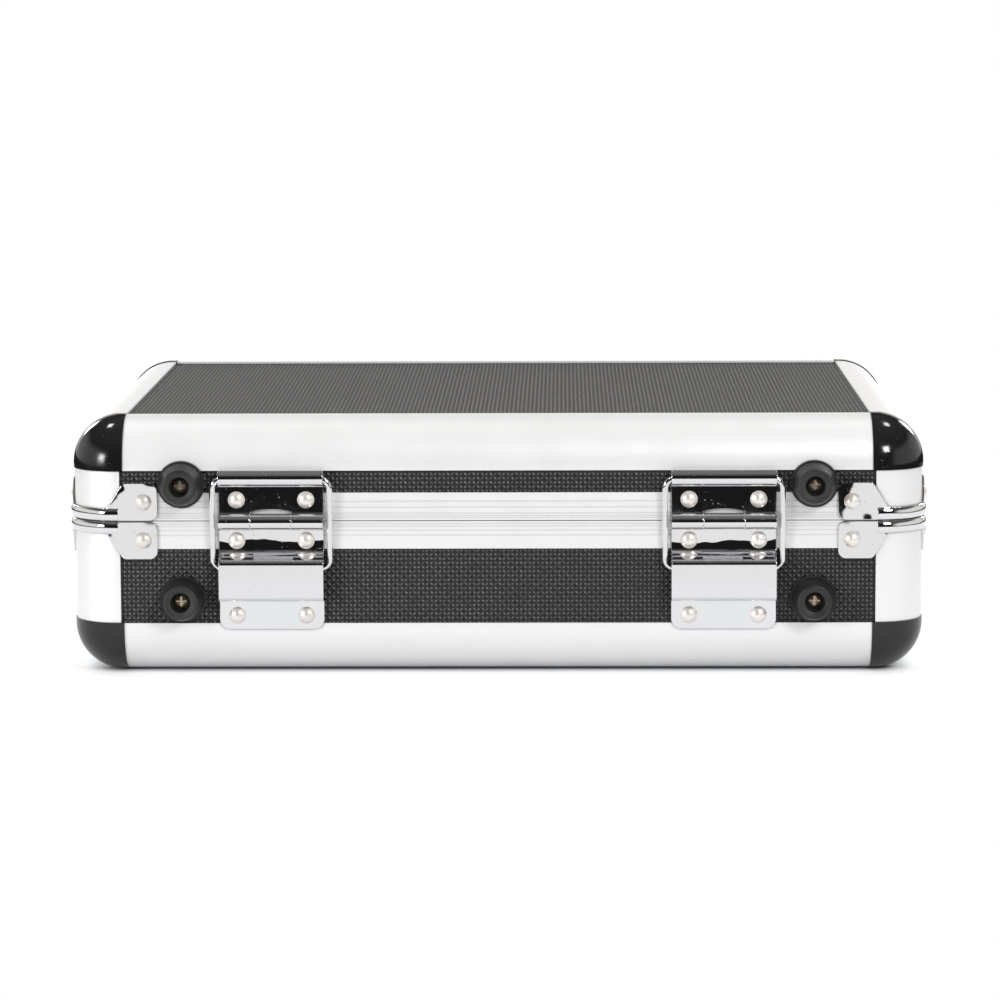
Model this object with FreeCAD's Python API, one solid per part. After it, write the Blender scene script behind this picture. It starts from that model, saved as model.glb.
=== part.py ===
import FreeCAD, Part
import math
import os
from collections import namedtuple

Vector = FreeCAD.Vector

# Aluminium tool case with a hinged lid, in millimetres. The front faces -Y, the hinges are at
# the back, and the case lies flat. The sizes are written from the outer faces of the aluminium
# profiles, and the model is shifted at the end so that its origin is under its middle.

# Envelope of the aluminium shell
CASE_LENGTH = 330.0
CASE_DEPTH = 250.0
BASE_HEIGHT = 60.0
LID_HEIGHT = 39.5

# Edge and post profiles
EDGE_LEG = 20.0
POST_LEG = 19.0
OUTER_RADIUS = 18.5
PROFILE_WALL = 0.9
INNER_LIP = 1.0
WEB = 1.0

# Panels in the slots of the profiles
PANEL_THICKNESS = 4.0
SLOT_DEPTH = 4.5
SLOT_CLEARANCE = 0.1

# Tongue and groove rims along the parting line
RIM_HEIGHT = 10.9
RIM_TOP_WALL = 1.2
TONGUE_INSET = 2.6
TONGUE_THICKNESS = 1.3
TONGUE_HEIGHT = 1.8
TONGUE_CLEARANCE = 0.3
TONGUE_END_GAP = 0.5
PARTING_RELIEF = 0.17
PARTING_LEDGE = 1.0
FLUTE_WIDTH = 0.4
FLUTE_DEPTH = 0.15
BASE_FLUTES = (1.1, 2.1, 3.7, 5.6)
LID_FLUTES = (1.2, 2.0, 3.0, 5.3, 7.6)

# Moulded ball corners
BALL_LEG = 20.2
BALL_PROUD = 0.5
BALL_INNER_CUT = 42.0
BALL_FLAT_CUT = 0.1
SPIGOT_LENGTH = 5.0
SPIGOT_CLEARANCE = 0.15

# Sheet brackets over the corners of the rims
SHEET = 1.0
SHEET_BEND = 1.0
BRACKET_WING_END = 33.6
BRACKET_HEIGHT = 14.5
BRACKET_BAND = 4.6
BRACKET_WINDOW_TOP = 20.3
BRACKET_WINDOW_FOOT = 14.2
BRACKET_GAP = 0.25
BRACKET_CORNER_RADIUS = 3.0
BRACKET_WAIST_RADIUS = 2.5
BRACKET_RIVET_IN = 28.2
BRACKET_RIVET_DROP = 7.4
BEAD_PROUD = 0.8

# Rivets
RIVET_HEAD_RADIUS = 3.3
RIVET_HEAD_HEIGHT = 1.8
RIVET_SHANK_RADIUS = 1.6
RIVET_CLEARANCE = 0.08
CLINCH_RADIUS = 2.9
CLINCH_THICKNESS = 1.0

# Rubber feet on the back and their screws
FOOT_RADIUS = 9.1
FOOT_FLANGE = 1.0
FOOT_FLANGE_STEP = 0.6
FOOT_FRONT_RADIUS = 6.7
FOOT_RIM_RADIUS = 0.8
FOOT_REACH = 9.5
FOOT_SIDE_GAP = 0.2
LID_FOOT_RISE = 14.2
BASE_FOOT_Z = 29.3
FOOT_DISH_RADIUS = 5.5
FOOT_DISH_DEPTH = 0.5
FOOT_RECESS_RADIUS = 3.9
FOOT_RECESS_DEPTH = 5.4
SCREW_RADIUS = 2.0
SCREW_HEAD_RADIUS = 3.4
SCREW_HEAD_HEIGHT = 1.8
SCREW_CLEARANCE = 0.1
SCREW_CROSS_WIDTH = 0.9
SCREW_CROSS_LENGTH = 4.0
SCREW_CROSS_DEPTH = 1.3
NUT_RADIUS = 3.0
NUT_THICKNESS = 2.4

# Hinges with a wire stay ring
HINGE_TO_FOOT = 34.8
HINGE_WIDTH = 40.4
KNUCKLE_RADIUS = 3.2
HINGE_PIN_RADIUS = 1.95
PIN_RUNNING_CLEARANCE = 0.05
KNUCKLE_FACE_GAP = 0.1
KNUCKLE_SIDE_GAP = 0.2
MIDDLE_KNUCKLE_WIDTH = 15.7
LID_LEAF_RIVET_RISE = 8.3
BASE_LEAF_RIVET_DROP = 7.5
LOWER_RIVET_Z = 23.3
LEAF_RIVET_IN = 6.8
POCKET_DEPTH = 5.2
POCKET_TOP_Z = 47.4
POCKET_BEND = 2.4
POCKET_FACE_TOP_Z = 44.1
POCKET_FLOOR_Z = 30.3
LEAF_BOTTOM_Z = 17.8
LEAF_CORNER_RADIUS = 4.0
POCKET_SLOT_WIDTH = 6.7
POCKET_SLOT_DEPTH = 2.6
CURL_RISE = 17.0
CURL_RADIUS = 3.3
RING_SAG = 0.7
RING_WIRE_RADIUS = 1.15
RING_SIDE_GAP = 1.3
RING_CORNER_RADIUS = 3.4
RING_FOOT_Z = 41.8
RING_FOOT_OFFSET = 1.35
KNUCKLE_RELIEF = 1.1

# Draw latches on the front
LATCH_PLATE_WIDTH = 30.0
LATCH_PLATE_BOTTOM = 18.4
LATCH_PLATE_TOP_GAP = 0.6
LATCH_RIVET_X = 6.5
LATCH_UPPER_RIVET_DROP = 4.2
EAR_INNER = 13.0
EAR_RADIUS = 3.6
LATCH_PIVOT_DROP = 12.5
LATCH_PIVOT_OFFSET = 5.8
LATCH_PIN_RADIUS = 1.5
LATCH_PIN_HEAD_RADIUS = 2.3
LATCH_PIN_HEAD_THICKNESS = 0.8
LEVER_SHEET = 1.2
LEVER_WIDTH = 24.4
LEVER_FACE = 9.0
LEVER_BOTTOM_Z = 23.6
LEVER_EYE_RADIUS = 3.6
LEVER_BACK_OFFSET = 1.4
LEVER_TAB_REACH = 2.4
LEVER_TAB_RISE = 5.0
LEVER_CORNER_RADIUS = 4.0
BAIL_WIRE_RADIUS = 1.2
BAIL_SIDE_GAP = 0.4
BAIL_CORNER_RADIUS = 3.0
BAIL_PIVOT_DROP = 7.0
BAIL_PIVOT_INSET = 2.2
BAIL_END_INSET = 1.6
BAIL_STAND_OFF = 0.3
PLUG_DROP = 12.5
PLUG_RADIUS = 4.0
PLUG_HEAD_RADIUS = 5.2
PLUG_HEAD_HEIGHT = 1.0
PLUG_CLEARANCE = 0.1
PLUG_BACK_OFFSET = 4.6
CAM_THICKNESS = 1.2
CAM_WIDTH = 4.0
CAM_LENGTH = 7.0
KEYWAY_WIDTH = 1.1
KEYWAY_LENGTH = 5.0
KEYWAY_DEPTH = 3.0
CATCH_WIDTH = 24.0
CATCH_RIVET_X = 7.5
CATCH_RIVET_RISE = 8.0
CATCH_TOP_RISE = 13.0
CATCH_SEAT_RISE = 1.4
CATCH_LIP_OFFSET = 4.7
CATCH_LIP_HEIGHT = 3.9

# Carrying handle on the front
HANDLE_LATCH_GAP = 5.3
HANDLE_PLATE_WIDTH = 34.0
HANDLE_PLATE_TOP_GAP = 0.6
HANDLE_PLATE_HEIGHT = 17.0
HANDLE_RIVET_X = 12.2
HANDLE_RIVET_DROP = 6.0
HANDLE_PIVOT_DROP = 10.0
HANDLE_PIVOT_OFFSET = 8.3
HANDLE_EAR_SHEET = 1.5
HANDLE_EAR_RADIUS = 4.6
HANDLE_PIN_RADIUS = 2.5
HANDLE_PIN_HEAD_RADIUS = 3.4
HANDLE_PIN_HEAD_THICKNESS = 1.0
HANDLE_ARM_WIDTH = 11.0
HANDLE_ARM_GAP = 0.3
HANDLE_EYE_RADIUS = 5.0
HANDLE_DROP = 30.0
GRIP_END_RADIUS = 6.4
GRIP_MIDDLE_RADIUS = 7.5
GRIP_EDGE_RADIUS = 1.5

# Soft linings
PAD_THICKNESS = 5.7
FOAM_THICKNESS = 20.0
LINING_GAP = 0.5

X_AXIS = Vector(1, 0, 0)
Y_AXIS = Vector(0, 1, 0)
Z_AXIS = Vector(0, 0, 1)
CENTRE = Vector(0, 0, 0)

HALF_LENGTH = CASE_LENGTH / 2
HALF_DEPTH = CASE_DEPTH / 2
CASE_HEIGHT = BASE_HEIGHT + LID_HEIGHT
SLOT_WIDTH = PANEL_THICKNESS + 2 * SLOT_CLEARANCE
PANEL_INSET = PROFILE_WALL + SLOT_CLEARANCE
PANEL_BACK = PANEL_INSET + PANEL_THICKNESS
LIP_START = PROFILE_WALL + SLOT_WIDTH
LIP_END = LIP_START + INNER_LIP
DRILL_DEPTH = 2 * LIP_END

HINGE_PIN_OFFSET = KNUCKLE_RADIUS + KNUCKLE_FACE_GAP
HINGE_BORE_RADIUS = HINGE_PIN_RADIUS + PIN_RUNNING_CLEARANCE
FOOT_X = HALF_LENGTH - BRACKET_WING_END - FOOT_RADIUS - FOOT_SIDE_GAP
HINGE_X = FOOT_X - HINGE_TO_FOOT
LEAF_RIVET_X = HINGE_WIDTH / 2 - LEAF_RIVET_IN
RING_HALF_WIDTH = HINGE_WIDTH / 2 + RING_SIDE_GAP + RING_WIRE_RADIUS
LATCH_X = HINGE_X
BRACKET_X = LATCH_X - LATCH_PLATE_WIDTH / 2 - HANDLE_LATCH_GAP - HANDLE_PLATE_WIDTH / 2
LATCH_PIVOT_Z = BASE_HEIGHT - LATCH_PIVOT_DROP
HANDLE_PIVOT_Z = BASE_HEIGHT - HANDLE_PIVOT_DROP
FRONT_REACH = HANDLE_PIVOT_OFFSET + GRIP_MIDDLE_RADIUS
ROW_SHIFT = Vector(0, (FRONT_REACH - FOOT_REACH) / 2, BALL_PROUD - BALL_FLAT_CUT)

# A side is one upright face of the case: outward is its normal and reach the distance of its
# face from the middle. A half is the base or the lid: inward points from its flat outer face
# towards the parting line.
Side = namedtuple("Side", "name outward along reach half_span")
Half = namedtuple("Half", "name outer_z inward height")

BACK = Side("back", Y_AXIS, X_AXIS, HALF_DEPTH, HALF_LENGTH)
FRONT = Side("front", -Y_AXIS, X_AXIS, HALF_DEPTH, HALF_LENGTH)
LEFT = Side("left", -X_AXIS, Y_AXIS, HALF_LENGTH, HALF_DEPTH)
RIGHT = Side("right", X_AXIS, Y_AXIS, HALF_LENGTH, HALF_DEPTH)
SIDES = (BACK, FRONT, LEFT, RIGHT)
BASE = Half("base", 0.0, Z_AXIS, BASE_HEIGHT)
LID = Half("lid", CASE_HEIGHT, -Z_AXIS, LID_HEIGHT)


def plane(origin, across, up):
    """Place flat coordinates (a, b) in space."""
    return lambda a, b: origin + across * a + up * b


def on_side(side, along, offset, z):
    """A point by its place along a side, its distance outside the side's face and its height."""
    return side.outward * (side.reach + offset) + side.along * along + Z_AXIS * z


def outline(path, place, closed=True):
    """Wire through flat points; a point with four numbers ends an arc through its last two."""
    edges = []
    last = place(*path[0][:2])
    for step in path[1:] + (path[:1] if closed else []):
        point = place(*step[:2])
        if point.distanceToPoint(last) < 1e-7:
            continue
        if len(step) == 4:
            edges.append(Part.Arc(last, place(*step[2:]), point).toShape())
        else:
            edges.append(Part.LineSegment(last, point).toShape())
        last = point
    return Part.Wire(edges)


def prism(path, place, run):
    """Solid of a flat outline moved along run."""
    return Part.Face(outline(path, place)).extrude(run)


def box(low, high):
    size = high - low
    return Part.makeBox(size.x, size.y, size.z, low)


def turned(profile, point, direction):
    """Solid of (radius, height) points turned about an axis through point."""
    side = X_AXIS if abs(direction.x) < 0.5 else Y_AXIS
    face = Part.Face(outline(profile, plane(point, side, direction)))
    return face.revolve(point, direction, 360)


def direction(start, end):
    length = math.dist(start, end)
    return (end[0] - start[0]) / length, (end[1] - start[1]) / length


def bend_arc(before, point, after, radius):
    """Start, end and middle of the arc that rounds a corner of a flat line, and its centre."""
    ax, ay = direction(before, point)
    bx, by = direction(point, after)
    turn = math.atan2(ax * by - ay * bx, ax * bx + ay * by)
    reach = radius * math.tan(abs(turn) / 2)
    start = (point[0] - reach * ax, point[1] - reach * ay)
    end = (point[0] + reach * bx, point[1] + reach * by)
    side = math.copysign(radius, turn)
    centre = (start[0] - side * ay, start[1] + side * ax)
    outward = direction(centre, point)
    middle = (centre[0] + radius * outward[0], centre[1] + radius * outward[1])
    return start, end, middle, centre


def folded(line, thickness, bends):
    """Outline of a folded sheet: a line of points and its parallel on the left of travel.

    Every fold has its own bend: an arc of that radius on its hollow side and of that radius
    plus the thickness on the other.
    """
    ax, ay = direction(line[0], line[1])
    bx, by = direction(line[-2], line[-1])
    near = [line[0]]
    far = [(line[0][0] - thickness * ay, line[0][1] + thickness * ax)]
    for before, point, after, bend in zip(line, line[1:], line[2:], bends):
        left_turn = direction(before, point)[0] * direction(point, after)[1] \
            > direction(before, point)[1] * direction(point, after)[0]
        radius, other = (bend + thickness, bend) if left_turn else (bend, bend + thickness)
        start, end, middle, centre = bend_arc(before, point, after, radius)
        near += [start, end + middle]
        start, end, middle = (
            tuple(centre[i] + (spot[i] - centre[i]) * other / radius for i in (0, 1))
            for spot in (start, end, middle))
        far += [start + middle, end]
    far.append((line[-1][0] - thickness * by, line[-1][1] + thickness * bx))
    return near + [line[-1]] + far[::-1]


def wire_rod(path, place, radius, closed):
    """Round wire along a flat path of lines and arcs."""
    spine = outline(path, place, closed)
    start = place(*path[0][:2])
    direction = place(*path[1][:2]) - start
    section = Part.Wire(Part.makeCircle(radius, start, direction))
    return spine.makePipeShell([section], True, False)


def round_corners(shape, radius, direction, chosen):
    """Round the edges that run along direction and whose middles are chosen."""
    edges = []
    for edge in shape.Edges:
        if len(edge.Vertexes) == 2:
            run = edge.Vertexes[1].Point - edge.Vertexes[0].Point
            if run.cross(direction).Length < 1e-6 and chosen(edge.CenterOfMass):
                edges.append(edge)
    return shape.makeFillet(radius, edges)


def drilled(shape, holes):
    """Cut from a shape the holes that reach it."""
    near = [hole for hole in holes if shape.BoundBox.intersect(hole.BoundBox)]
    return shape.cut(near) if near else shape


def mirrored_pair(shape):
    return [shape.mirror(CENTRE, X_AXIS), shape]


def four_corners(shape):
    pair = mirrored_pair(shape)
    return pair + [copy.mirror(CENTRE, Y_AXIS) for copy in pair]


def group(shapes):
    return Part.Compound(shapes)


# Aluminium profiles

def arc_middle(radius):
    """Coordinate of the middle of the rounded corner's arc, equal on both legs."""
    return OUTER_RADIUS - radius * math.sqrt(0.5)


def profile_outline(leg):
    """Section of an edge or post: a rounded corner with a slot for a panel in each leg."""
    slot_end = leg - SLOT_DEPTH - SLOT_CLEARANCE
    web_start = slot_end - WEB
    middle = arc_middle(OUTER_RADIUS)
    return [(0, leg), (0, OUTER_RADIUS), (OUTER_RADIUS, 0, middle, middle), (leg, 0),
            (leg, PROFILE_WALL), (slot_end, PROFILE_WALL), (slot_end, LIP_START),
            (leg, LIP_START), (leg, LIP_END), (web_start, LIP_END), (LIP_END, web_start),
            (LIP_END, leg), (LIP_START, leg), (LIP_START, slot_end),
            (PROFILE_WALL, slot_end), (PROFILE_WALL, leg)]


def core_outline(leg, gap=0.0):
    """Section of the hollow inside a profile, drawn in by a gap for a spigot that fits it."""
    web_start = leg - SLOT_DEPTH - SLOT_CLEARANCE - WEB - gap
    radius = OUTER_RADIUS - PROFILE_WALL - gap
    near = OUTER_RADIUS - math.sqrt(radius ** 2 - (OUTER_RADIUS - web_start) ** 2)
    far = LIP_END - (WEB + gap) * math.sqrt(2) + gap
    middle = arc_middle(radius)
    return [(web_start, near), (web_start, far), (far, web_start), (near, web_start),
            (web_start, near, middle, middle)]


def profile_bar(place, run, leg):
    return prism(profile_outline(leg), place, run).cut(prism(core_outline(leg), place, run))


def edge_bar(side, half):
    """Rounded edge between two ball corners."""
    span = side.half_span - BALL_LEG
    start = on_side(side, -span, 0, half.outer_z)
    return profile_bar(plane(start, -side.outward, half.inward), side.along * (2 * span),
                       EDGE_LEG)


def corner_posts(half):
    """Upright posts from the ball corners to the parting line."""
    start = Vector(HALF_LENGTH, HALF_DEPTH, half.outer_z) + half.inward * BALL_LEG
    run = half.inward * (half.height - BALL_LEG - PARTING_RELIEF)
    return group(four_corners(profile_bar(plane(start, -X_AXIS, -Y_AXIS), run, POST_LEG)))


def rim_outline(flutes, has_tongue):
    """Section of a rim: inset from the face, and distance from the parting line.

    The outer wall stops short of the parting line, which leaves a thin gap to be seen.
    """
    path = [(PARTING_LEDGE, 0), (PARTING_LEDGE, PARTING_RELIEF), (0, PARTING_RELIEF)]
    for height in flutes:
        low = height - FLUTE_WIDTH / 2
        high = height + FLUTE_WIDTH / 2
        path += [(0, low), (FLUTE_DEPTH, low), (FLUTE_DEPTH, high), (0, high)]
    slot_end = RIM_HEIGHT - SLOT_DEPTH - SLOT_CLEARANCE
    path += [(0, RIM_HEIGHT), (PROFILE_WALL, RIM_HEIGHT), (PROFILE_WALL, slot_end),
             (LIP_START, slot_end), (LIP_START, RIM_HEIGHT), (LIP_END, RIM_HEIGHT), (LIP_END, 0)]
    if not has_tongue:
        near = TONGUE_INSET - TONGUE_CLEARANCE
        far = TONGUE_INSET + TONGUE_THICKNESS + TONGUE_CLEARANCE
        depth = TONGUE_HEIGHT + TONGUE_CLEARANCE
        path += [(far, 0), (far, depth), (near, depth), (near, 0)]
    return path


def rim_bar(side, half, flutes, has_tongue):
    """Rim along one side between two posts, with a tongue on the base or a groove in the lid."""
    span = side.half_span - POST_LEG
    run = side.along * (2 * span)
    place = plane(on_side(side, -span, 0, BASE_HEIGHT), -side.outward, -half.inward)
    core_low = RIM_TOP_WALL
    if not has_tongue:
        core_low += TONGUE_HEIGHT + TONGUE_CLEARANCE
    core_high = RIM_HEIGHT - SLOT_DEPTH - SLOT_CLEARANCE - WEB
    core = [(PROFILE_WALL, core_low), (LIP_START, core_low),
            (LIP_START, core_high), (PROFILE_WALL, core_high)]
    bar = prism(rim_outline(flutes, has_tongue), place, run).cut(prism(core, place, run))
    if not has_tongue:
        return bar
    tongue_span = span - TONGUE_END_GAP
    tongue_place = plane(on_side(side, -tongue_span, 0, BASE_HEIGHT), -side.outward, Z_AXIS)
    far = TONGUE_INSET + TONGUE_THICKNESS
    tongue = [(TONGUE_INSET, 0), (far, 0), (far, TONGUE_HEIGHT), (TONGUE_INSET, TONGUE_HEIGHT)]
    return bar.fuse(prism(tongue, tongue_place, side.along * (2 * tongue_span))).removeSplitter()


# Moulded ball corners

def ball_corner():
    """Rounded block at the right back bottom corner, with a spigot into each of three profiles."""
    outer = Vector(HALF_LENGTH + BALL_PROUD, HALF_DEPTH + BALL_PROUD, -BALL_PROUD)
    inner = Vector(HALF_LENGTH - BALL_LEG, HALF_DEPTH - BALL_LEG, BALL_LEG)
    block = box(Vector(inner.x, inner.y, outer.z), Vector(outer.x, outer.y, inner.z))
    edges = [edge for edge in block.Edges
             if any(vertex.Point.distanceToPoint(outer) < 1e-6 for vertex in edge.Vertexes)]
    block = block.makeFillet(OUTER_RADIUS + BALL_PROUD, edges)
    third = BALL_INNER_CUT / 3
    cut_point = Vector(HALF_LENGTH - third, HALF_DEPTH - third, third)
    block = block.cut(Part.makeCylinder(CASE_HEIGHT, CASE_HEIGHT, cut_point, Vector(-1, -1, 1)))
    foot = box(Vector(0, 0, outer.z - BALL_PROUD), Vector(outer.x, outer.y,
                                                          outer.z + BALL_FLAT_CUT))
    block = block.cut(foot)
    edge_core = core_outline(EDGE_LEG, SPIGOT_CLEARANCE)
    post_core = core_outline(POST_LEG, SPIGOT_CLEARANCE)
    spigots = [
        prism(edge_core, plane(Vector(inner.x, HALF_DEPTH, 0), -Y_AXIS, Z_AXIS),
              X_AXIS * -SPIGOT_LENGTH),
        prism(edge_core, plane(Vector(HALF_LENGTH, inner.y, 0), -X_AXIS, Z_AXIS),
              Y_AXIS * -SPIGOT_LENGTH),
        prism(post_core, plane(Vector(HALF_LENGTH, HALF_DEPTH, inner.z), -X_AXIS, -Y_AXIS),
              Z_AXIS * SPIGOT_LENGTH)]
    return block.fuse(spigots).removeSplitter()


def ball_corners(half):
    corner = ball_corner()
    if half is LID:
        corner = corner.mirror(Vector(0, 0, CASE_HEIGHT / 2), Z_AXIS)
    return group(four_corners(corner))


# Panels

def flat_panel(half):
    """Bottom or top panel in the slots of the four edges, notched round the ball corners."""
    seat = EDGE_LEG - SLOT_DEPTH
    notch = BALL_LEG + SLOT_CLEARANCE
    wide_x, wide_y = HALF_LENGTH - seat, HALF_DEPTH - seat
    near_x, near_y = HALF_LENGTH - notch, HALF_DEPTH - notch
    corner = [(wide_x, near_y), (near_x, near_y), (near_x, wide_y)]
    path = corner + [(-x, y) for x, y in corner[::-1]]
    path += [(-x, -y) for x, y in path]
    origin = Z_AXIS * half.outer_z + half.inward * PANEL_INSET
    return prism(path, plane(origin, X_AXIS, Y_AXIS), half.inward * PANEL_THICKNESS)


def side_panel(side, half):
    """Upright panel between two posts, an edge and a rim."""
    wide = side.half_span - POST_LEG + SLOT_DEPTH
    near = side.half_span - BALL_LEG - SLOT_CLEARANCE
    low = EDGE_LEG - SLOT_DEPTH
    shoulder = BALL_LEG + SLOT_CLEARANCE
    high = half.height - RIM_HEIGHT + SLOT_DEPTH
    right = [(near, low), (near, shoulder), (wide, shoulder), (wide, high)]
    path = right + [(-a, b) for a, b in right[::-1]]
    place = plane(on_side(side, 0, -PANEL_INSET, half.outer_z), side.along, half.inward)
    return prism(path, place, -side.outward * PANEL_THICKNESS)


# Corner brackets

def at_shoulder(middle):
    """True on the edges where a bracket's slanted side meets the end of its wing."""
    away = max(HALF_LENGTH - middle.x, HALF_DEPTH - middle.y)
    low = BASE_HEIGHT - BRACKET_GAP - BRACKET_HEIGHT
    return abs(away - BRACKET_WINDOW_TOP) < 1e-3 and abs(middle.z - low) < 1e-3


def rim_bracket():
    """Sheet bracket round the right back post under the parting line, with a raised band."""
    far = BRACKET_WING_END
    outer = arc_middle(OUTER_RADIUS + SHEET)
    inner = arc_middle(OUTER_RADIUS)
    path = [(0, far), (0, OUTER_RADIUS), (OUTER_RADIUS, 0, inner, inner), (far, 0),
            (far, -SHEET), (OUTER_RADIUS, -SHEET),
            (-SHEET, OUTER_RADIUS, outer, outer), (-SHEET, far)]
    top = BASE_HEIGHT - BRACKET_GAP
    corner = Vector(HALF_LENGTH, HALF_DEPTH, top)
    sheet = prism(path, plane(corner, -X_AXIS, -Y_AXIS), Z_AXIS * -BRACKET_HEIGHT)
    low = top - BRACKET_HEIGHT
    sheet = round_corners(sheet, BRACKET_CORNER_RADIUS, Y_AXIS,
                          lambda middle: middle.x < HALF_LENGTH - far + SHEET)
    sheet = round_corners(sheet, BRACKET_CORNER_RADIUS, X_AXIS,
                          lambda middle: middle.y < HALF_DEPTH - far + SHEET)
    half_arc = (OUTER_RADIUS + SHEET) * (1 - math.sqrt(0.5))
    shoulder = (BRACKET_WINDOW_TOP, BRACKET_HEIGHT)
    foot = (BRACKET_WINDOW_FOOT, BRACKET_BAND)
    band_end = (-2 * SHEET, BRACKET_BAND)
    start, end, middle, _ = bend_arc(shoulder, foot, band_end, BRACKET_WAIST_RADIUS)
    window = [(BRACKET_WINDOW_TOP, BRACKET_HEIGHT + SHEET), shoulder, start, end + middle,
              band_end, (-2 * SHEET, BRACKET_HEIGHT + SHEET)]
    back_window = prism(window, plane(corner + Y_AXIS * 2 * SHEET, -X_AXIS, -Z_AXIS),
                        Y_AXIS * -(half_arc + 2 * SHEET))
    side_window = prism(window, plane(corner + X_AXIS * 2 * SHEET, -Y_AXIS, -Z_AXIS),
                        X_AXIS * -(half_arc + 2 * SHEET))
    sheet = sheet.cut([back_window, side_window])
    for run in (Y_AXIS, X_AXIS):
        sheet = round_corners(sheet, BRACKET_WAIST_RADIUS, run, at_shoulder)
    axis_point = Vector(HALF_LENGTH - OUTER_RADIUS, HALF_DEPTH - OUTER_RADIUS, low)
    radius = OUTER_RADIUS + SHEET
    bead_low = BRACKET_HEIGHT - BRACKET_BAND
    bead_middle = BRACKET_HEIGHT - BRACKET_BAND / 2
    bead = [(radius - SHEET / 2, bead_low), (radius, bead_low),
            (radius, BRACKET_HEIGHT, radius + BEAD_PROUD, bead_middle),
            (radius - SHEET / 2, BRACKET_HEIGHT)]
    face = Part.Face(outline(bead, plane(axis_point, X_AXIS, Z_AXIS)))
    return sheet.fuse(face.revolve(axis_point, Z_AXIS, 90)).removeSplitter()


def rim_brackets(half, holes):
    bracket = drilled(rim_bracket(), holes)
    if half is LID:
        bracket = bracket.mirror(Vector(0, 0, BASE_HEIGHT), Z_AXIS)
    return group(four_corners(bracket))


# Rivets, feet and screws

Rivet = namedtuple("Rivet", "side along z grip")


def dome_end(radius, height, seat):
    """Edge of a spherical cap on a seat, with the middle of its arc from the top."""
    sphere = (radius ** 2 + height ** 2) / (2 * height)
    turn = math.asin(radius / sphere) / 2
    middle = seat + height - sphere * (1 - math.cos(turn))
    return radius, seat, sphere * math.sin(turn), middle


def rivet_solid(rivet):
    """Domed head on the sheet, shank through the wall and flat clinched end inside."""
    seat = on_side(rivet.side, rivet.along, SHEET, rivet.z)
    end = -(SHEET + rivet.grip)
    profile = [(0, RIVET_HEAD_HEIGHT), dome_end(RIVET_HEAD_RADIUS, RIVET_HEAD_HEIGHT, 0.0),
               (RIVET_SHANK_RADIUS, 0.0), (RIVET_SHANK_RADIUS, end), (CLINCH_RADIUS, end),
               (CLINCH_RADIUS, end - CLINCH_THICKNESS), (0, end - CLINCH_THICKNESS)]
    return turned(profile, seat, rivet.side.outward)


def hole_at(side, along, z, radius):
    mouth = on_side(side, along, DRILL_DEPTH / 2, z)
    return Part.makeCylinder(radius, DRILL_DEPTH * 1.5, mouth, -side.outward)


def rivet_hole(rivet):
    return hole_at(rivet.side, rivet.along, rivet.z, RIVET_SHANK_RADIUS + RIVET_CLEARANCE)


def bracket_rivets(z):
    """Two rivets in each corner bracket, one in each wing."""
    rivets = []
    for side in SIDES:
        for sign in (-1, 1):
            along = sign * (side.half_span - BRACKET_RIVET_IN)
            rivets.append(Rivet(side, along, z, LIP_END))
    return rivets


def pair_rivets(side, centres, spread, z, grip):
    return [Rivet(side, sign * centre + shift, z, grip)
            for centre in centres for sign in (-1, 1) for shift in (-spread, spread)]


BASE_RIVETS = (
    bracket_rivets(BASE_HEIGHT - BRACKET_RIVET_DROP)
    + pair_rivets(BACK, [HINGE_X], LEAF_RIVET_X, BASE_HEIGHT - BASE_LEAF_RIVET_DROP, LIP_END)
    + pair_rivets(BACK, [HINGE_X], LEAF_RIVET_X, LOWER_RIVET_Z, PANEL_BACK)
    + pair_rivets(FRONT, [LATCH_X], LATCH_RIVET_X, BASE_HEIGHT - LATCH_UPPER_RIVET_DROP, LIP_END)
    + pair_rivets(FRONT, [LATCH_X], LATCH_RIVET_X, LOWER_RIVET_Z, PANEL_BACK)
    + pair_rivets(FRONT, [BRACKET_X], HANDLE_RIVET_X, BASE_HEIGHT - HANDLE_RIVET_DROP, LIP_END))
LID_RIVETS = (
    bracket_rivets(BASE_HEIGHT + BRACKET_RIVET_DROP)
    + pair_rivets(BACK, [HINGE_X], LEAF_RIVET_X, BASE_HEIGHT + LID_LEAF_RIVET_RISE, LIP_END)
    + pair_rivets(FRONT, [LATCH_X], CATCH_RIVET_X, BASE_HEIGHT + CATCH_RIVET_RISE, LIP_END))


def rubber_foot(z, seat):
    """Round foot on the back, with a dished front and a recess for its screw."""
    point = on_side(BACK, FOOT_X, seat, z)
    height = FOOT_REACH - seat
    edge = FOOT_FRONT_RADIUS
    bend = FOOT_RIM_RADIUS * (1 - math.sqrt(0.5))
    recess_floor = height - FOOT_RECESS_DEPTH
    bore = SCREW_RADIUS + SCREW_CLEARANCE
    profile = [(bore, 0), (FOOT_RADIUS, 0), (FOOT_RADIUS, FOOT_FLANGE),
               (FOOT_RADIUS - FOOT_FLANGE_STEP, FOOT_FLANGE), (edge, height - FOOT_RIM_RADIUS),
               (edge - FOOT_RIM_RADIUS, height, edge - bend, height - bend),
               (FOOT_DISH_RADIUS, height), (FOOT_RECESS_RADIUS, height - FOOT_DISH_DEPTH),
               (FOOT_RECESS_RADIUS, recess_floor),
               (bore, recess_floor)]
    return group(mirrored_pair(turned(profile, point, BACK.outward)))


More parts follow.
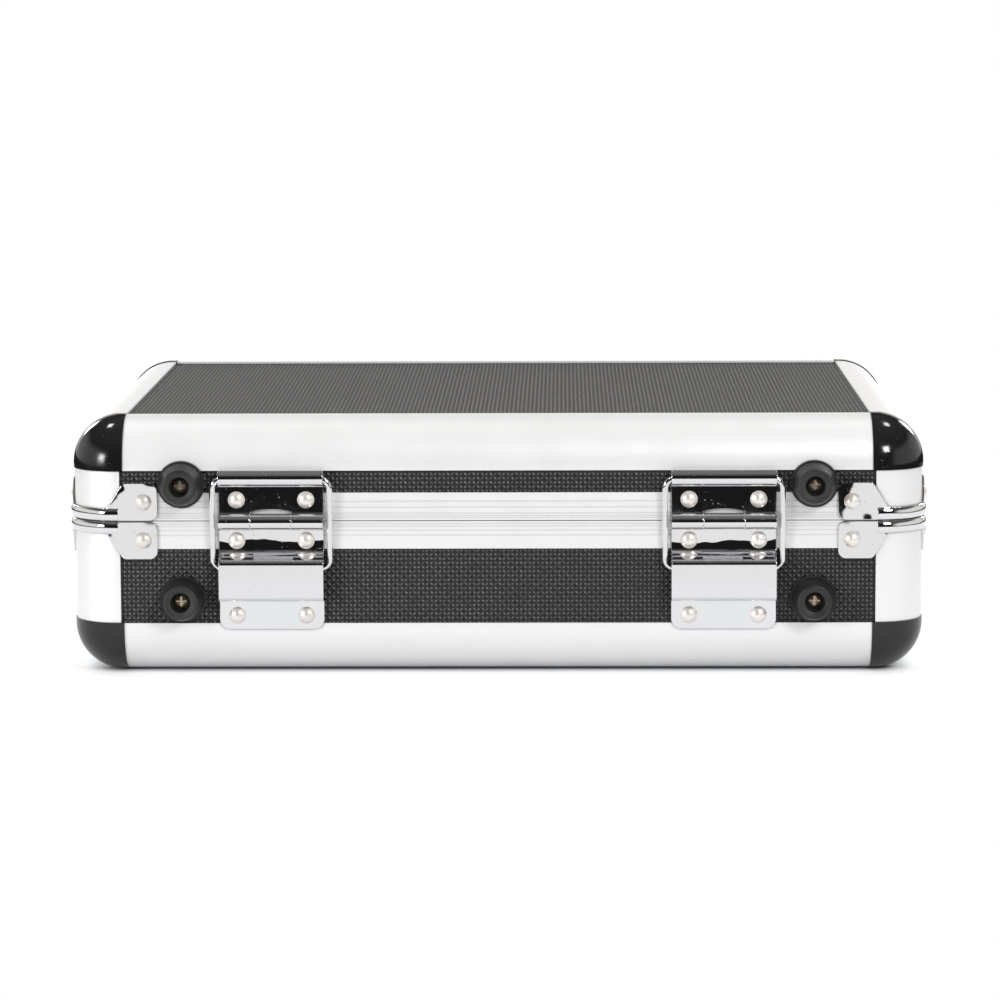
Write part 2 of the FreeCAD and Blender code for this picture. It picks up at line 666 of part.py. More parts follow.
def foot_screws(z):
    """Domed cross-head screw in each foot and its round nut inside the panel."""
    head = FOOT_REACH - FOOT_RECESS_DEPTH
    nut = -PANEL_BACK
    tip = nut - NUT_THICKNESS - SCREW_HEAD_HEIGHT / 2
    point = on_side(BACK, FOOT_X, 0, z)
    profile = [(0, head + SCREW_HEAD_HEIGHT),
               dome_end(SCREW_HEAD_RADIUS, SCREW_HEAD_HEIGHT, head),
               (SCREW_RADIUS, head), (SCREW_RADIUS, tip), (0, tip)]
    screw = turned(profile, point, BACK.outward)
    half, reach = SCREW_CROSS_WIDTH / 2, SCREW_CROSS_LENGTH / 2
    top = point + Y_AXIS * (head + SCREW_HEAD_HEIGHT)
    for across, up in ((half, reach), (reach, half)):
        low = top + Vector(-across, -SCREW_CROSS_DEPTH, -up)
        screw = screw.cut(box(low, top + Vector(across, SCREW_CROSS_DEPTH, up)))
    ring = [(SCREW_RADIUS, nut), (NUT_RADIUS, nut), (NUT_RADIUS, nut - NUT_THICKNESS),
            (SCREW_RADIUS, nut - NUT_THICKNESS)]
    return group(mirrored_pair(screw) + mirrored_pair(turned(ring, point, BACK.outward)))


# Hinges

def across_back(x, width):
    """Plane of (offset, height) at one end of a piece that runs along the back."""
    return plane(on_side(BACK, x - width / 2, 0, 0), BACK.outward, Z_AXIS), X_AXIS * width


def across_front(x, width):
    return plane(on_side(FRONT, x - width / 2, 0, 0), FRONT.outward, Z_AXIS), X_AXIS * width


def tube(side, x, width, offset, z, outer, inner):
    """Round tube along the case, centred on x, or a plain rod where inner is zero."""
    start = on_side(side, x - width / 2, offset, z)
    rod = Part.makeCylinder(outer, width, start, X_AXIS)
    return rod.cut(Part.makeCylinder(inner, width, start, X_AXIS)) if inner else rod


def hinge_base_leaf(x, holes):
    """Leaf on the base: middle knuckle, plate on the rim and a pocket for the stay ring."""
    flat_top = BASE_HEIGHT - KNUCKLE_RADIUS - KNUCKLE_SIDE_GAP
    line = [(0, flat_top), (0, POCKET_TOP_Z), (POCKET_DEPTH, POCKET_FACE_TOP_Z),
            (POCKET_DEPTH, POCKET_FLOOR_Z), (0, POCKET_FLOOR_Z), (0, LEAF_BOTTOM_Z)]
    bends = [POCKET_BEND] + [SHEET_BEND] * 3
    leaf = prism(folded(line, SHEET, bends), *across_back(x, HINGE_WIDTH))
    leaf = round_corners(leaf, LEAF_CORNER_RADIUS, Y_AXIS,
                         lambda middle: middle.z < LEAF_BOTTOM_Z + 1e-3)
    neck = [(0, flat_top), (SHEET, flat_top), (SHEET, BASE_HEIGHT), (0, BASE_HEIGHT)]
    neck = prism(neck, *across_back(x, MIDDLE_KNUCKLE_WIDTH))
    knuckle = tube(BACK, x, MIDDLE_KNUCKLE_WIDTH, HINGE_PIN_OFFSET, BASE_HEIGHT,
                   KNUCKLE_RADIUS, 0)
    bore = tube(BACK, x, HINGE_WIDTH, HINGE_PIN_OFFSET, BASE_HEIGHT, HINGE_BORE_RADIUS, 0)
    leaf = leaf.fuse([neck, knuckle]).cut(bore)
    for shift in (-LEAF_RIVET_X, LEAF_RIVET_X):
        low = on_side(BACK, x + shift - POCKET_SLOT_WIDTH / 2, SHEET, POCKET_FLOOR_Z - 2 * SHEET)
        size = Vector(POCKET_SLOT_WIDTH, POCKET_SLOT_DEPTH, 3 * SHEET)
        leaf = leaf.cut(box(low, low + size))
    return drilled(leaf, holes).removeSplitter()


def hinge_lid_leaf(x, holes):
    """Leaf on the lid: two outer knuckles, a plate on the rim and a curl for the stay ring.

    The plate is cut to a shallow arch above the middle knuckle of the other leaf.
    """
    outer_width = (HINGE_WIDTH - MIDDLE_KNUCKLE_WIDTH) / 2 - KNUCKLE_SIDE_GAP
    flat_bottom = BASE_HEIGHT + KNUCKLE_RADIUS + KNUCKLE_SIDE_GAP
    curl_z = BASE_HEIGHT + CURL_RISE
    plate = [(0, flat_bottom), (SHEET, flat_bottom), (SHEET, curl_z), (0, curl_z)]
    leaf = prism(plate, *across_back(x, HINGE_WIDTH))
    half_relief = MIDDLE_KNUCKLE_WIDTH / 2 + KNUCKLE_SIDE_GAP
    relief_top = flat_bottom + KNUCKLE_RELIEF
    relief = [(-half_relief, BASE_HEIGHT), (half_relief, BASE_HEIGHT),
              (half_relief, flat_bottom), (-half_relief, flat_bottom, 0, relief_top)]
    leaf = leaf.cut(prism(relief, plane(on_side(BACK, x, 0, 0), X_AXIS, Z_AXIS), Y_AXIS * SHEET))
    curl = tube(BACK, x, HINGE_WIDTH, CURL_RADIUS, curl_z, CURL_RADIUS, CURL_RADIUS - SHEET)
    leaf = leaf.fuse(curl)
    for sign in (-1, 1):
        centre = x + sign * (HINGE_WIDTH - outer_width) / 2
        neck = [(0, BASE_HEIGHT), (SHEET, BASE_HEIGHT), (SHEET, flat_bottom), (0, flat_bottom)]
        knuckle = tube(BACK, centre, outer_width, HINGE_PIN_OFFSET, BASE_HEIGHT,
                       KNUCKLE_RADIUS, 0)
        leaf = leaf.fuse([prism(neck, *across_back(centre, outer_width)), knuckle])
    bore = tube(BACK, x, HINGE_WIDTH, HINGE_PIN_OFFSET, BASE_HEIGHT, HINGE_BORE_RADIUS, 0)
    return drilled(leaf.cut(bore), holes).removeSplitter()


def hinge_pins():
    pin = tube(BACK, HINGE_X, HINGE_WIDTH, HINGE_PIN_OFFSET, BASE_HEIGHT, HINGE_PIN_RADIUS, 0)
    return group(mirrored_pair(pin))


def ring_place(x):
    """Plane of a stay ring, from its upper run, which hangs low in the curl, to its foot."""
    top = on_side(BACK, x, CURL_RADIUS, BASE_HEIGHT + CURL_RISE - RING_SAG)
    foot = on_side(BACK, x, RING_FOOT_OFFSET, RING_FOOT_Z)
    down = foot - top
    length = down.Length
    return plane(top, X_AXIS, down / length), length


def stay_ring(x):
    """Closed wire ring through the curl of the lid leaf and the pocket of the base leaf."""
    place, length = ring_place(x)
    side, bend = RING_HALF_WIDTH, RING_CORNER_RADIUS
    inset = bend * (1 - math.sqrt(0.5))
    path = [(0, length), (side - bend, length),
            (side, length - bend, side - inset, length - inset), (side, bend),
            (side - bend, 0, side - inset, inset), (bend - side, 0),
            (-side, bend, inset - side, inset), (-side, length - bend),
            (bend - side, length, inset - side, length - inset)]
    return wire_rod(path, place, RING_WIRE_RADIUS, True)


# Draw latches

def latch_plate(x, holes):
    """Riveted plate with two ears that hold the pivot of the lever."""
    top = BASE_HEIGHT - LATCH_PLATE_TOP_GAP
    plate = [(0, LATCH_PLATE_BOTTOM), (SHEET, LATCH_PLATE_BOTTOM), (SHEET, top), (0, top)]
    solid = prism(plate, *across_front(x, LATCH_PLATE_WIDTH))
    solid = round_corners(solid, SHEET, Y_AXIS, lambda middle: True)
    for sign in (-1, 1):
        centre = x + sign * (EAR_INNER + SHEET / 2)
        reach = [(0, LATCH_PIVOT_Z - EAR_RADIUS), (LATCH_PIVOT_OFFSET, LATCH_PIVOT_Z - EAR_RADIUS),
                 (LATCH_PIVOT_OFFSET, LATCH_PIVOT_Z + EAR_RADIUS,
                  LATCH_PIVOT_OFFSET + EAR_RADIUS, LATCH_PIVOT_Z),
                 (0, LATCH_PIVOT_Z + EAR_RADIUS)]
        solid = solid.fuse(prism(reach, *across_front(centre, SHEET)))
    bore = tube(FRONT, x, LATCH_PLATE_WIDTH, LATCH_PIVOT_OFFSET, LATCH_PIVOT_Z,
                LATCH_PIN_RADIUS + PIN_RUNNING_CLEARANCE, 0)
    return drilled(solid.cut(bore), holes).removeSplitter()


def latch_pins():
    """Headed pivot pins of the two levers."""
    half_width = EAR_INNER + SHEET
    end = half_width + LATCH_PIN_HEAD_THICKNESS
    profile = [(0, -end), (LATCH_PIN_HEAD_RADIUS, -end), (LATCH_PIN_HEAD_RADIUS, -half_width),
               (LATCH_PIN_RADIUS, -half_width), (LATCH_PIN_RADIUS, half_width),
               (LATCH_PIN_HEAD_RADIUS, half_width), (LATCH_PIN_HEAD_RADIUS, end), (0, end)]
    point = on_side(FRONT, LATCH_X, LATCH_PIVOT_OFFSET, LATCH_PIVOT_Z)
    return group(mirrored_pair(turned(profile, point, X_AXIS)))


def bail_pivot():
    """Offset and height of the bail's pivot in the lever."""
    return LATCH_PIVOT_OFFSET - BAIL_PIVOT_INSET, LATCH_PIVOT_Z - BAIL_PIVOT_DROP


def latch_lever(x):
    """Pressed channel with two cheeks, a flared finger tab and a hole for the lock."""
    bail_offset, bail_z = bail_pivot()
    face_inner = LEVER_FACE - LEVER_SHEET
    eye_top = LATCH_PIVOT_Z + LEVER_EYE_RADIUS
    bend = LEVER_EYE_RADIUS * math.sqrt(0.5)
    bail_wall = bail_offset - LEVER_BACK_OFFSET
    cheek = [(LEVER_FACE, eye_top), (LATCH_PIVOT_OFFSET, eye_top),
             (LATCH_PIVOT_OFFSET - LEVER_EYE_RADIUS, LATCH_PIVOT_Z,
              LATCH_PIVOT_OFFSET - bend, LATCH_PIVOT_Z + bend),
             (LEVER_BACK_OFFSET, bail_z),
             (bail_offset, bail_z - bail_wall, bail_offset - bail_wall * math.sqrt(0.5),
              bail_z - bail_wall * math.sqrt(0.5)),
             (face_inner, LEVER_BOTTOM_Z), (LEVER_FACE, LEVER_BOTTOM_Z)]
    lever = prism(cheek, *across_front(x, LEVER_WIDTH))
    low, high = LEVER_BOTTOM_Z - LEVER_SHEET, eye_top + LEVER_SHEET
    hollow = [(-LEVER_SHEET, low), (face_inner, low), (face_inner, high), (-LEVER_SHEET, high)]
    lever = lever.cut(prism(hollow, *across_front(x, LEVER_WIDTH - 2 * LEVER_SHEET)))
    tab = [(face_inner, LEVER_BOTTOM_Z + LEVER_TAB_RISE), (face_inner, LEVER_BOTTOM_Z),
           (face_inner + LEVER_TAB_REACH, LEVER_BOTTOM_Z - LEVER_TAB_RISE)]
    tab = prism(folded(tab, LEVER_SHEET, [SHEET_BEND] * (len(tab) - 2)),
                *across_front(x, LEVER_WIDTH - 4 * LEVER_SHEET))
    tab = round_corners(tab, LEVER_CORNER_RADIUS,
                        FRONT.outward * LEVER_TAB_RISE + Z_AXIS * LEVER_TAB_REACH,
                        lambda middle: middle.z < LEVER_BOTTOM_Z - LEVER_SHEET)
    bores = [
        tube(FRONT, x, LEVER_WIDTH, LATCH_PIVOT_OFFSET, LATCH_PIVOT_Z,
             LATCH_PIN_RADIUS + PIN_RUNNING_CLEARANCE, 0),
        tube(FRONT, x, LEVER_WIDTH, bail_offset, bail_z,
             BAIL_WIRE_RADIUS + PIN_RUNNING_CLEARANCE, 0),
        Part.makeCylinder(PLUG_RADIUS + PLUG_CLEARANCE, LEVER_FACE,
                          on_side(FRONT, x, 0, LATCH_PIVOT_Z - PLUG_DROP), FRONT.outward)]
    return lever.fuse(tab).cut(bores).removeSplitter()


def latch_bail(x):
    """Wire bail from the lever to just outside the lip of the catch, resting unhooked."""
    bail_offset, bail_z = bail_pivot()
    pivot = on_side(FRONT, x, bail_offset, bail_z)
    bar = on_side(FRONT, x, CATCH_LIP_OFFSET + BAIL_STAND_OFF + BAIL_WIRE_RADIUS,
                  BASE_HEIGHT + CATCH_SEAT_RISE + SHEET + BAIL_WIRE_RADIUS)
    up = bar - pivot
    length = up.Length
    side = (EAR_INNER + SHEET + LATCH_PIN_HEAD_THICKNESS + BAIL_SIDE_GAP + BAIL_WIRE_RADIUS)
    end = LEVER_WIDTH / 2 - LEVER_SHEET - BAIL_END_INSET
    bend = BAIL_CORNER_RADIUS
    inset = bend * (1 - math.sqrt(0.5))
    path = [(-end, 0), (bend - side, 0), (-side, bend, inset - side, inset),
            (-side, length - bend), (bend - side, length, inset - side, length - inset),
            (side - bend, length), (side, length - bend, side - inset, length - inset),
            (side, bend), (side - bend, 0, side - inset, inset), (end, 0)]
    return wire_rod(path, plane(pivot, X_AXIS, up / length), BAIL_WIRE_RADIUS, False)


def lock_plug(x):
    """Turning lock plug in the lever, with a keyway and a cam behind the face."""
    z = LATCH_PIVOT_Z - PLUG_DROP
    point = on_side(FRONT, x, 0, z)
    top = LEVER_FACE + PLUG_HEAD_HEIGHT
    edge = PLUG_HEAD_HEIGHT / 2
    profile = [(0, PLUG_BACK_OFFSET), (PLUG_RADIUS, PLUG_BACK_OFFSET), (PLUG_RADIUS, LEVER_FACE),
               (PLUG_HEAD_RADIUS, LEVER_FACE), (PLUG_HEAD_RADIUS, top - edge),
               (PLUG_HEAD_RADIUS - edge, top), (0, top)]
    plug = turned(profile, point, FRONT.outward)
    cam = [(PLUG_BACK_OFFSET - CAM_THICKNESS, z + CAM_WIDTH / 2),
           (PLUG_BACK_OFFSET, z + CAM_WIDTH / 2), (PLUG_BACK_OFFSET, z - CAM_LENGTH),
           (PLUG_BACK_OFFSET - CAM_THICKNESS, z - CAM_LENGTH)]
    cam = prism(cam, *across_front(x, CAM_WIDTH))
    keyway = [(top - KEYWAY_DEPTH, z - KEYWAY_LENGTH / 2), (top, z - KEYWAY_LENGTH / 2),
              (top, z + KEYWAY_LENGTH / 2), (top - KEYWAY_DEPTH, z + KEYWAY_LENGTH / 2)]
    keyway = prism(keyway, *across_front(x, KEYWAY_WIDTH))
    return plug.fuse(cam).cut(keyway).removeSplitter()


def latch_catches(holes):
    """J-shaped catches on the lid's rim."""
    seat = BASE_HEIGHT + CATCH_SEAT_RISE
    line = [(0, BASE_HEIGHT + CATCH_TOP_RISE), (0, seat), (CATCH_LIP_OFFSET, seat),
            (CATCH_LIP_OFFSET, seat + CATCH_LIP_HEIGHT)]
    catch = prism(folded(line, SHEET, [SHEET_BEND] * (len(line) - 2)),
                  *across_front(LATCH_X, CATCH_WIDTH))
    catch = round_corners(catch, BRACKET_CORNER_RADIUS, Y_AXIS,
                          lambda middle: middle.z > seat + CATCH_LIP_HEIGHT + SHEET)
    return group(mirrored_pair(drilled(catch, holes)))


# Handle

def handle_brackets(holes):
    """Riveted plates with two ears each for the handle's pins."""
    top = BASE_HEIGHT - HANDLE_PLATE_TOP_GAP
    low = top - HANDLE_PLATE_HEIGHT
    plate = [(0, low), (SHEET, low), (SHEET, top), (0, top)]
    solid = prism(plate, *across_front(BRACKET_X, HANDLE_PLATE_WIDTH))
    solid = round_corners(solid, BRACKET_CORNER_RADIUS, Y_AXIS, lambda middle: True)
    ear_shift = (HANDLE_ARM_WIDTH + HANDLE_EAR_SHEET) / 2 + HANDLE_ARM_GAP
    for shift in (-ear_shift, ear_shift):
        reach = [(0, HANDLE_PIVOT_Z - HANDLE_EAR_RADIUS),
                 (HANDLE_PIVOT_OFFSET, HANDLE_PIVOT_Z - HANDLE_EAR_RADIUS),
                 (HANDLE_PIVOT_OFFSET, HANDLE_PIVOT_Z + HANDLE_EAR_RADIUS,
                  HANDLE_PIVOT_OFFSET + HANDLE_EAR_RADIUS, HANDLE_PIVOT_Z),
                 (0, HANDLE_PIVOT_Z + HANDLE_EAR_RADIUS)]
        solid = solid.fuse(prism(reach, *across_front(BRACKET_X + shift, HANDLE_EAR_SHEET)))
    bore = tube(FRONT, BRACKET_X, HANDLE_PLATE_WIDTH, HANDLE_PIVOT_OFFSET, HANDLE_PIVOT_Z,
                HANDLE_PIN_RADIUS + PIN_RUNNING_CLEARANCE, 0)
    bracket = drilled(solid.cut(bore), holes).removeSplitter()
    return group(mirrored_pair(bracket))


def handle_pins():
    half_width = HANDLE_ARM_WIDTH / 2 + HANDLE_ARM_GAP + HANDLE_EAR_SHEET
    end = half_width + HANDLE_PIN_HEAD_THICKNESS
    profile = [(0, -end), (HANDLE_PIN_HEAD_RADIUS, -end), (HANDLE_PIN_HEAD_RADIUS, -half_width),
               (HANDLE_PIN_RADIUS, -half_width), (HANDLE_PIN_RADIUS, half_width),
               (HANDLE_PIN_HEAD_RADIUS, half_width), (HANDLE_PIN_HEAD_RADIUS, end), (0, end)]
    point = on_side(FRONT, BRACKET_X, HANDLE_PIVOT_OFFSET, HANDLE_PIVOT_Z)
    return group(mirrored_pair(turned(profile, point, X_AXIS)))


def handle_grip():
    """Moulded U-shaped handle: two arms with eyes and a bar that swells in the middle."""
    bar_z = HANDLE_PIVOT_Z - HANDLE_DROP
    offset = HANDLE_PIVOT_OFFSET
    arm = [(offset - HANDLE_EYE_RADIUS, HANDLE_PIVOT_Z),
           (offset + HANDLE_EYE_RADIUS, HANDLE_PIVOT_Z, offset, HANDLE_PIVOT_Z + HANDLE_EYE_RADIUS),
           (offset + GRIP_END_RADIUS, bar_z),
           (offset - GRIP_END_RADIUS, bar_z, offset, bar_z - GRIP_END_RADIUS)]
    arm = prism(arm, *across_front(BRACKET_X, HANDLE_ARM_WIDTH))
    outer = BRACKET_X + HANDLE_ARM_WIDTH / 2
    arm = arm.makeFillet(GRIP_EDGE_RADIUS,
                         [edge for edge in arm.Edges if edge.BoundBox.XMin > outer - 1e-3])
    arms = mirrored_pair(arm)
    half_bar = BRACKET_X - HANDLE_ARM_WIDTH / 2
    bar = [(0, -half_bar), (GRIP_END_RADIUS, -half_bar),
           (GRIP_END_RADIUS, half_bar, GRIP_MIDDLE_RADIUS, 0), (0, half_bar)]
    bar = turned(bar, on_side(FRONT, 0, offset, bar_z), X_AXIS)
    bore = tube(FRONT, 0, CASE_LENGTH, offset, HANDLE_PIVOT_Z,
                HANDLE_PIN_RADIUS + PIN_RUNNING_CLEARANCE, 0)
    return bar.fuse(arms).cut(bore).removeSplitter()


# Soft linings

def lining(half, thickness):
    """Sheet of foam on the inner face of the bottom or top panel, between the inner lips."""
    x = HALF_LENGTH - BALL_LEG - LINING_GAP
    y = HALF_DEPTH - BALL_LEG - LINING_GAP
    origin = Z_AXIS * half.outer_z + half.inward * PANEL_BACK
    return prism([(-x, -y), (x, -y), (x, y), (-x, y)], plane(origin, X_AXIS, Y_AXIS),
                 half.inward * thickness)


def shell_nodes(half, flutes, rivets, foot_z):
    """Profiles, panels, rims and corners of the base or the lid."""
    screw_radius = SCREW_RADIUS + SCREW_CLEARANCE
    holes = [rivet_hole(rivet) for rivet in rivets]
    holes += [hole_at(BACK, sign * FOOT_X, foot_z, screw_radius) for sign in (-1, 1)]
    bracket_holes = [rivet_hole(rivet) for rivet in BASE_RIVETS]
    nodes = {}
    for side in SIDES:
        name = half.name + "_" + side.name
        nodes[name + "_panel"] = drilled(side_panel(side, half), holes)
        nodes[name + "_edge"] = edge_bar(side, half)
        nodes[name + "_rim"] = drilled(rim_bar(side, half, flutes, half is BASE), holes)
    nodes[half.name + "_corner_posts"] = corner_posts(half)
    nodes[half.name + "_ball_corners"] = ball_corners(half)
    nodes[half.name + "_rim_brackets"] = rim_brackets(half, bracket_holes)
    nodes[half.name + "_rivets"] = group([rivet_solid(rivet) for rivet in rivets])
    nodes[half.name + "_foot_screws"] = foot_screws(foot_z)
    return nodes, holes


def build():
    lid_foot_z = BASE_HEIGHT + LID_FOOT_RISE
    nodes, base_holes = shell_nodes(BASE, BASE_FLUTES, BASE_RIVETS, BASE_FOOT_Z)
    lid_nodes, lid_holes = shell_nodes(LID, LID_FLUTES, LID_RIVETS, lid_foot_z)
    nodes.update(lid_nodes)
    nodes["bottom_panel"] = flat_panel(BASE)
    nodes["top_panel"] = flat_panel(LID)
    nodes["base_feet"] = rubber_foot(BASE_FOOT_Z, -PANEL_INSET)
    nodes["lid_feet"] = rubber_foot(lid_foot_z, 0.0)
    nodes["base_floor_pad"] = lining(BASE, PAD_THICKNESS)
    nodes["lid_foam_pad"] = lining(LID, FOAM_THICKNESS)
    nodes["hinge_pins"] = hinge_pins()
    nodes["latch_pins"] = latch_pins()
    nodes["latch_catches"] = latch_catches(lid_holes)
    nodes["handle_brackets"] = handle_brackets(base_holes)
    nodes["handle_pins"] = handle_pins()
    nodes["handle_grip"] = handle_grip()
    for name, sign in (("left", -1), ("right", 1)):
        nodes[name + "_hinge_base_leaf"] = hinge_base_leaf(sign * HINGE_X, base_holes)
        nodes[name + "_hinge_lid_leaf"] = hinge_lid_leaf(sign * HINGE_X, lid_holes)
        nodes[name + "_stay_ring"] = stay_ring(sign * HINGE_X)
        nodes[name + "_latch_plate"] = latch_plate(sign * LATCH_X, base_holes)
        nodes[name + "_latch_lever"] = latch_lever(sign * LATCH_X)
        nodes[name + "_latch_bail"] = latch_bail(sign * LATCH_X)
        nodes[name + "_lock_plug"] = lock_plug(sign * LATCH_X)
    return nodes


os.makedirs("parts", exist_ok=True)
for node_name, node_shape in build().items():
    node_shape.translate(ROW_SHIFT)
    node_shape.exportStep("parts/" + node_name + ".step")
    print(node_name, len(node_shape.Solids), node_shape.isValid(), round(node_shape.Volume, 1))
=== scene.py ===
import bpy
import math
import numpy as np
from mathutils import Matrix, Vector


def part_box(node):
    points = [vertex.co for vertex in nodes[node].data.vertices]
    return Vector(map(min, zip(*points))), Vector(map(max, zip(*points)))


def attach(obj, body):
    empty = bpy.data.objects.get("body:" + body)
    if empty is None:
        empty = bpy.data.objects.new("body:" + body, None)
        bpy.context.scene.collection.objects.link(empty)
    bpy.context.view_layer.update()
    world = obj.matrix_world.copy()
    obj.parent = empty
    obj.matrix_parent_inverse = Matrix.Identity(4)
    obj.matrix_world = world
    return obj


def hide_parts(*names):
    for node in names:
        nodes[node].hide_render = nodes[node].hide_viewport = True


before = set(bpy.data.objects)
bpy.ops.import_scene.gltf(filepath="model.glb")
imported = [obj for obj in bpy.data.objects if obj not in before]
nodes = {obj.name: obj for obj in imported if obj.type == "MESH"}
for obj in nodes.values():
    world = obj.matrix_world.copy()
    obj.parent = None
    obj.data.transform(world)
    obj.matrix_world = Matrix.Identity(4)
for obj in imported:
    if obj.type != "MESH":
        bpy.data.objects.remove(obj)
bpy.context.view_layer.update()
MM = 0.001

# Camera at the photograph's angle, fitted to the lines of the case
CAMERA_PLACE = (-0.02547, 1.70450, 0.27418)
CAMERA_PITCH = 0.1298
CAMERA_YAW = -0.0155
CAMERA_ROLL = -0.0036
CAMERA_LENS = 148.415

# Studio
FLOOR_HALF = 5.0
FLOOR_DROP = 0.05 * MM
FLOOR_NEAR = 0.12
FLOOR_FAR = 0.32
FLOOR_END = 0.445
FLOOR_ALBEDO = 0.66
FLOOR_SEEN = (0.485, 0.50, 0.52)
FLOOR_GLOW_NEAR = 0.50
FLOOR_GLOW_START = -0.013
FLOOR_GLOW_FULL = -0.001
UNDER_GLOW = 1.2
UNDER_FADE = 0.012
FLOOR_GLOW_FAR = 0.16
FLOOR_GLOW_REACH = 0.06
MIRROR_GLOW = 0.60
FLOOR_TINT = (1.0, 1.0, 1.0)
CASE_CORE = (0.145, 0.105, 10.0)
CASE_ROUND = 0.020
ROOM_TINT = (1.0, 0.975, 0.94)
ROOM_DARK = 0.012
CEILING = 0.19
WALLS = 0.85
AMBIENT = 0.36
SKYLIGHT = 0.68

# Finishes
ALUMINIUM = (0.90, 0.905, 0.915)
CHROME = (0.76, 0.76, 0.77)
RIVET_METAL = (0.93, 0.88, 0.84)
PANEL_BLACK = (0.006, 0.006, 0.007)
# Colour of the painted highlight on the panels' ridge dots
PANEL_DOT_HIGHLIGHT = (0.17, 0.166, 0.162)
# Brighter painted highlight for the top panel's ridge dots
TOP_DOT_HIGHLIGHT = (0.27, 0.26, 0.245)
CORNER_BLACK = (0.008, 0.008, 0.009)
RUBBER_BLACK = (0.012, 0.012, 0.012)
BRASS = (0.60, 0.50, 0.38)
PAD_GREY = (0.045, 0.047, 0.05)
FOAM_GREY = (0.055, 0.056, 0.06)
HANDLE_BLACK = (0.015, 0.015, 0.016)
LOCK_STEEL = (0.78, 0.77, 0.75)
DIAMOND_PITCH = 3.3 * MM
SHEET_EDGE = 0.35 * MM
# Reach of the painted shade that darkens inner corners and joints
CREASE_SHADE_REACH = 1.2 * MM
NECK_TOP = 53.4 * MM
NECK_LENGTH = 4.8 * MM
NECK_CURVE = 30.0
WING_LEAN = 0.022
WING_TWIST = 0.16
WING_STRETCH = (75.0, 75.0, 25.0)
FRAME_INSET = 3.2 * MM
FRAME_WIDTH = 0.9 * MM
FRAME_HEIGHT = 0.35 * MM

X_RUN = (1, 0, 0)
Y_RUN = (0, 1, 0)
Z_RUN = (0, 0, 1)


# Node helpers

def add(tree, kind, settings=None, **inputs):
    """A shader node with its settings, and with its inputs set or linked by name.

    Underscores in an input's name stand for spaces, and a trailing number picks an input by
    its place where several share one name.
    """
    made = tree.nodes.new(kind)
    for name, value in (settings or {}).items():
        setattr(made, name, value)
    for name, value in inputs.items():
        key = int(name[2:]) if name[:2] == "in" and name[2:].isdigit() else name.replace("_", " ")
        join(tree, made.inputs[key], value)
    return made


def join(tree, socket, value):
    """Link an output to a socket, or write a plain value into it."""
    if isinstance(value, bpy.types.NodeSocket):
        tree.links.new(value, socket)
    elif isinstance(value, bpy.types.Node):
        tree.links.new(value.outputs[0], socket)
    elif hasattr(value, "__len__") and len(value) == 3 and socket.type == "RGBA":
        socket.default_value = (*value, 1.0)
    else:
        socket.default_value = value


def maths(tree, operation, *values):
    return add(tree, "ShaderNodeMath", {"operation": operation},
               **{f"in{i}": value for i, value in enumerate(values)}).outputs[0]


def vector_maths(tree, operation, *values):
    return add(tree, "ShaderNodeVectorMath", {"operation": operation},
               **{f"in{i}": value for i, value in enumerate(values)}).outputs[0]


def length_of(tree, vector):
    return add(tree, "ShaderNodeVectorMath", {"operation": "LENGTH"}, in0=vector).outputs[1]


def fade(tree, value, low, high, out_low=0.0, out_high=1.0):
    """Smooth step of a value from out_low at low to out_high at high."""
    return add(tree, "ShaderNodeMapRange", {"interpolation_type": "SMOOTHSTEP"}, Value=value,
               From_Min=low, From_Max=high, To_Min=out_low, To_Max=out_high).outputs[0]


def blend(tree, amount, first, second):
    """Mix of two colours."""
    mix = tree.nodes.new("ShaderNodeMix")
    mix.data_type = "RGBA"
    join(tree, mix.inputs[0], amount)
    join(tree, mix.inputs[6], first)
    join(tree, mix.inputs[7], second)
    return mix.outputs[2]


def blend_value(tree, amount, first, second):
    """Straight line from first to second as amount goes from 0 to 1."""
    return add(tree, "ShaderNodeMapRange", Value=amount, To_Min=first, To_Max=second).outputs[0]


def group_tree(name, inputs, outputs):
    """Empty shader node group with named sockets, its input node and its output node."""
    tree = bpy.data.node_groups.new(name, "ShaderNodeTree")
    kinds = {"value": "NodeSocketFloat", "vector": "NodeSocketVector", "colour": "NodeSocketColor"}
    for socket_name, kind in inputs:
        tree.interface.new_socket(socket_name, in_out="INPUT", socket_type=kinds[kind])
    for socket_name, kind in outputs:
        tree.interface.new_socket(socket_name, in_out="OUTPUT", socket_type=kinds[kind])
    source = tree.nodes.new("NodeGroupInput")
    sink = tree.nodes.new("NodeGroupOutput")
    return tree, source.outputs, sink.inputs


def place_group(tree, group, **inputs):
    made = tree.nodes.new("ShaderNodeGroup")
    made.node_tree = group
    for name, value in inputs.items():
        join(tree, made.inputs[name.replace("_", " ")], value)
    return made.outputs


# Shared effects

def diamond_group():
    """Embossed lattice: two families of ridges at plus and minus 45 degrees.

    With a and b as the distances along the sheet in pitches, each family's height is
    max(0, cos(2 pi (a + b))) or the same of (a - b), raised where neither crosses; the pits
    are the diamonds between. The Dots mark the ridges half way between crossings, where the
    panels paint a highlight.
    """
    tree, source, sink = group_tree(
        "diamond_emboss", [("Along", "value"), ("Across", "value")],
        [("Height", "value"), ("Dots", "value")])
    turn = 2 * math.pi / (DIAMOND_PITCH)
    rising = maths(tree, "ADD", source["Along"], source["Across"])
    falling = maths(tree, "SUBTRACT", source["Along"], source["Across"])
    rising = maths(tree, "COSINE", maths(tree, "MULTIPLY", rising, turn))
    falling = maths(tree, "COSINE", maths(tree, "MULTIPLY", falling, turn))
    high = maths(tree, "MAXIMUM", rising, falling)
    low = maths(tree, "MINIMUM", rising, falling)
    height = maths(tree, "SMOOTH_MAX", high, -0.2, 0.6)
    dots = maths(tree, "MULTIPLY", fade(tree, high, 0.45, 1.0), fade(tree, low, 0.1, -0.75))
    join(tree, sink["Height"], height)
    join(tree, sink["Dots"], dots)
    return tree


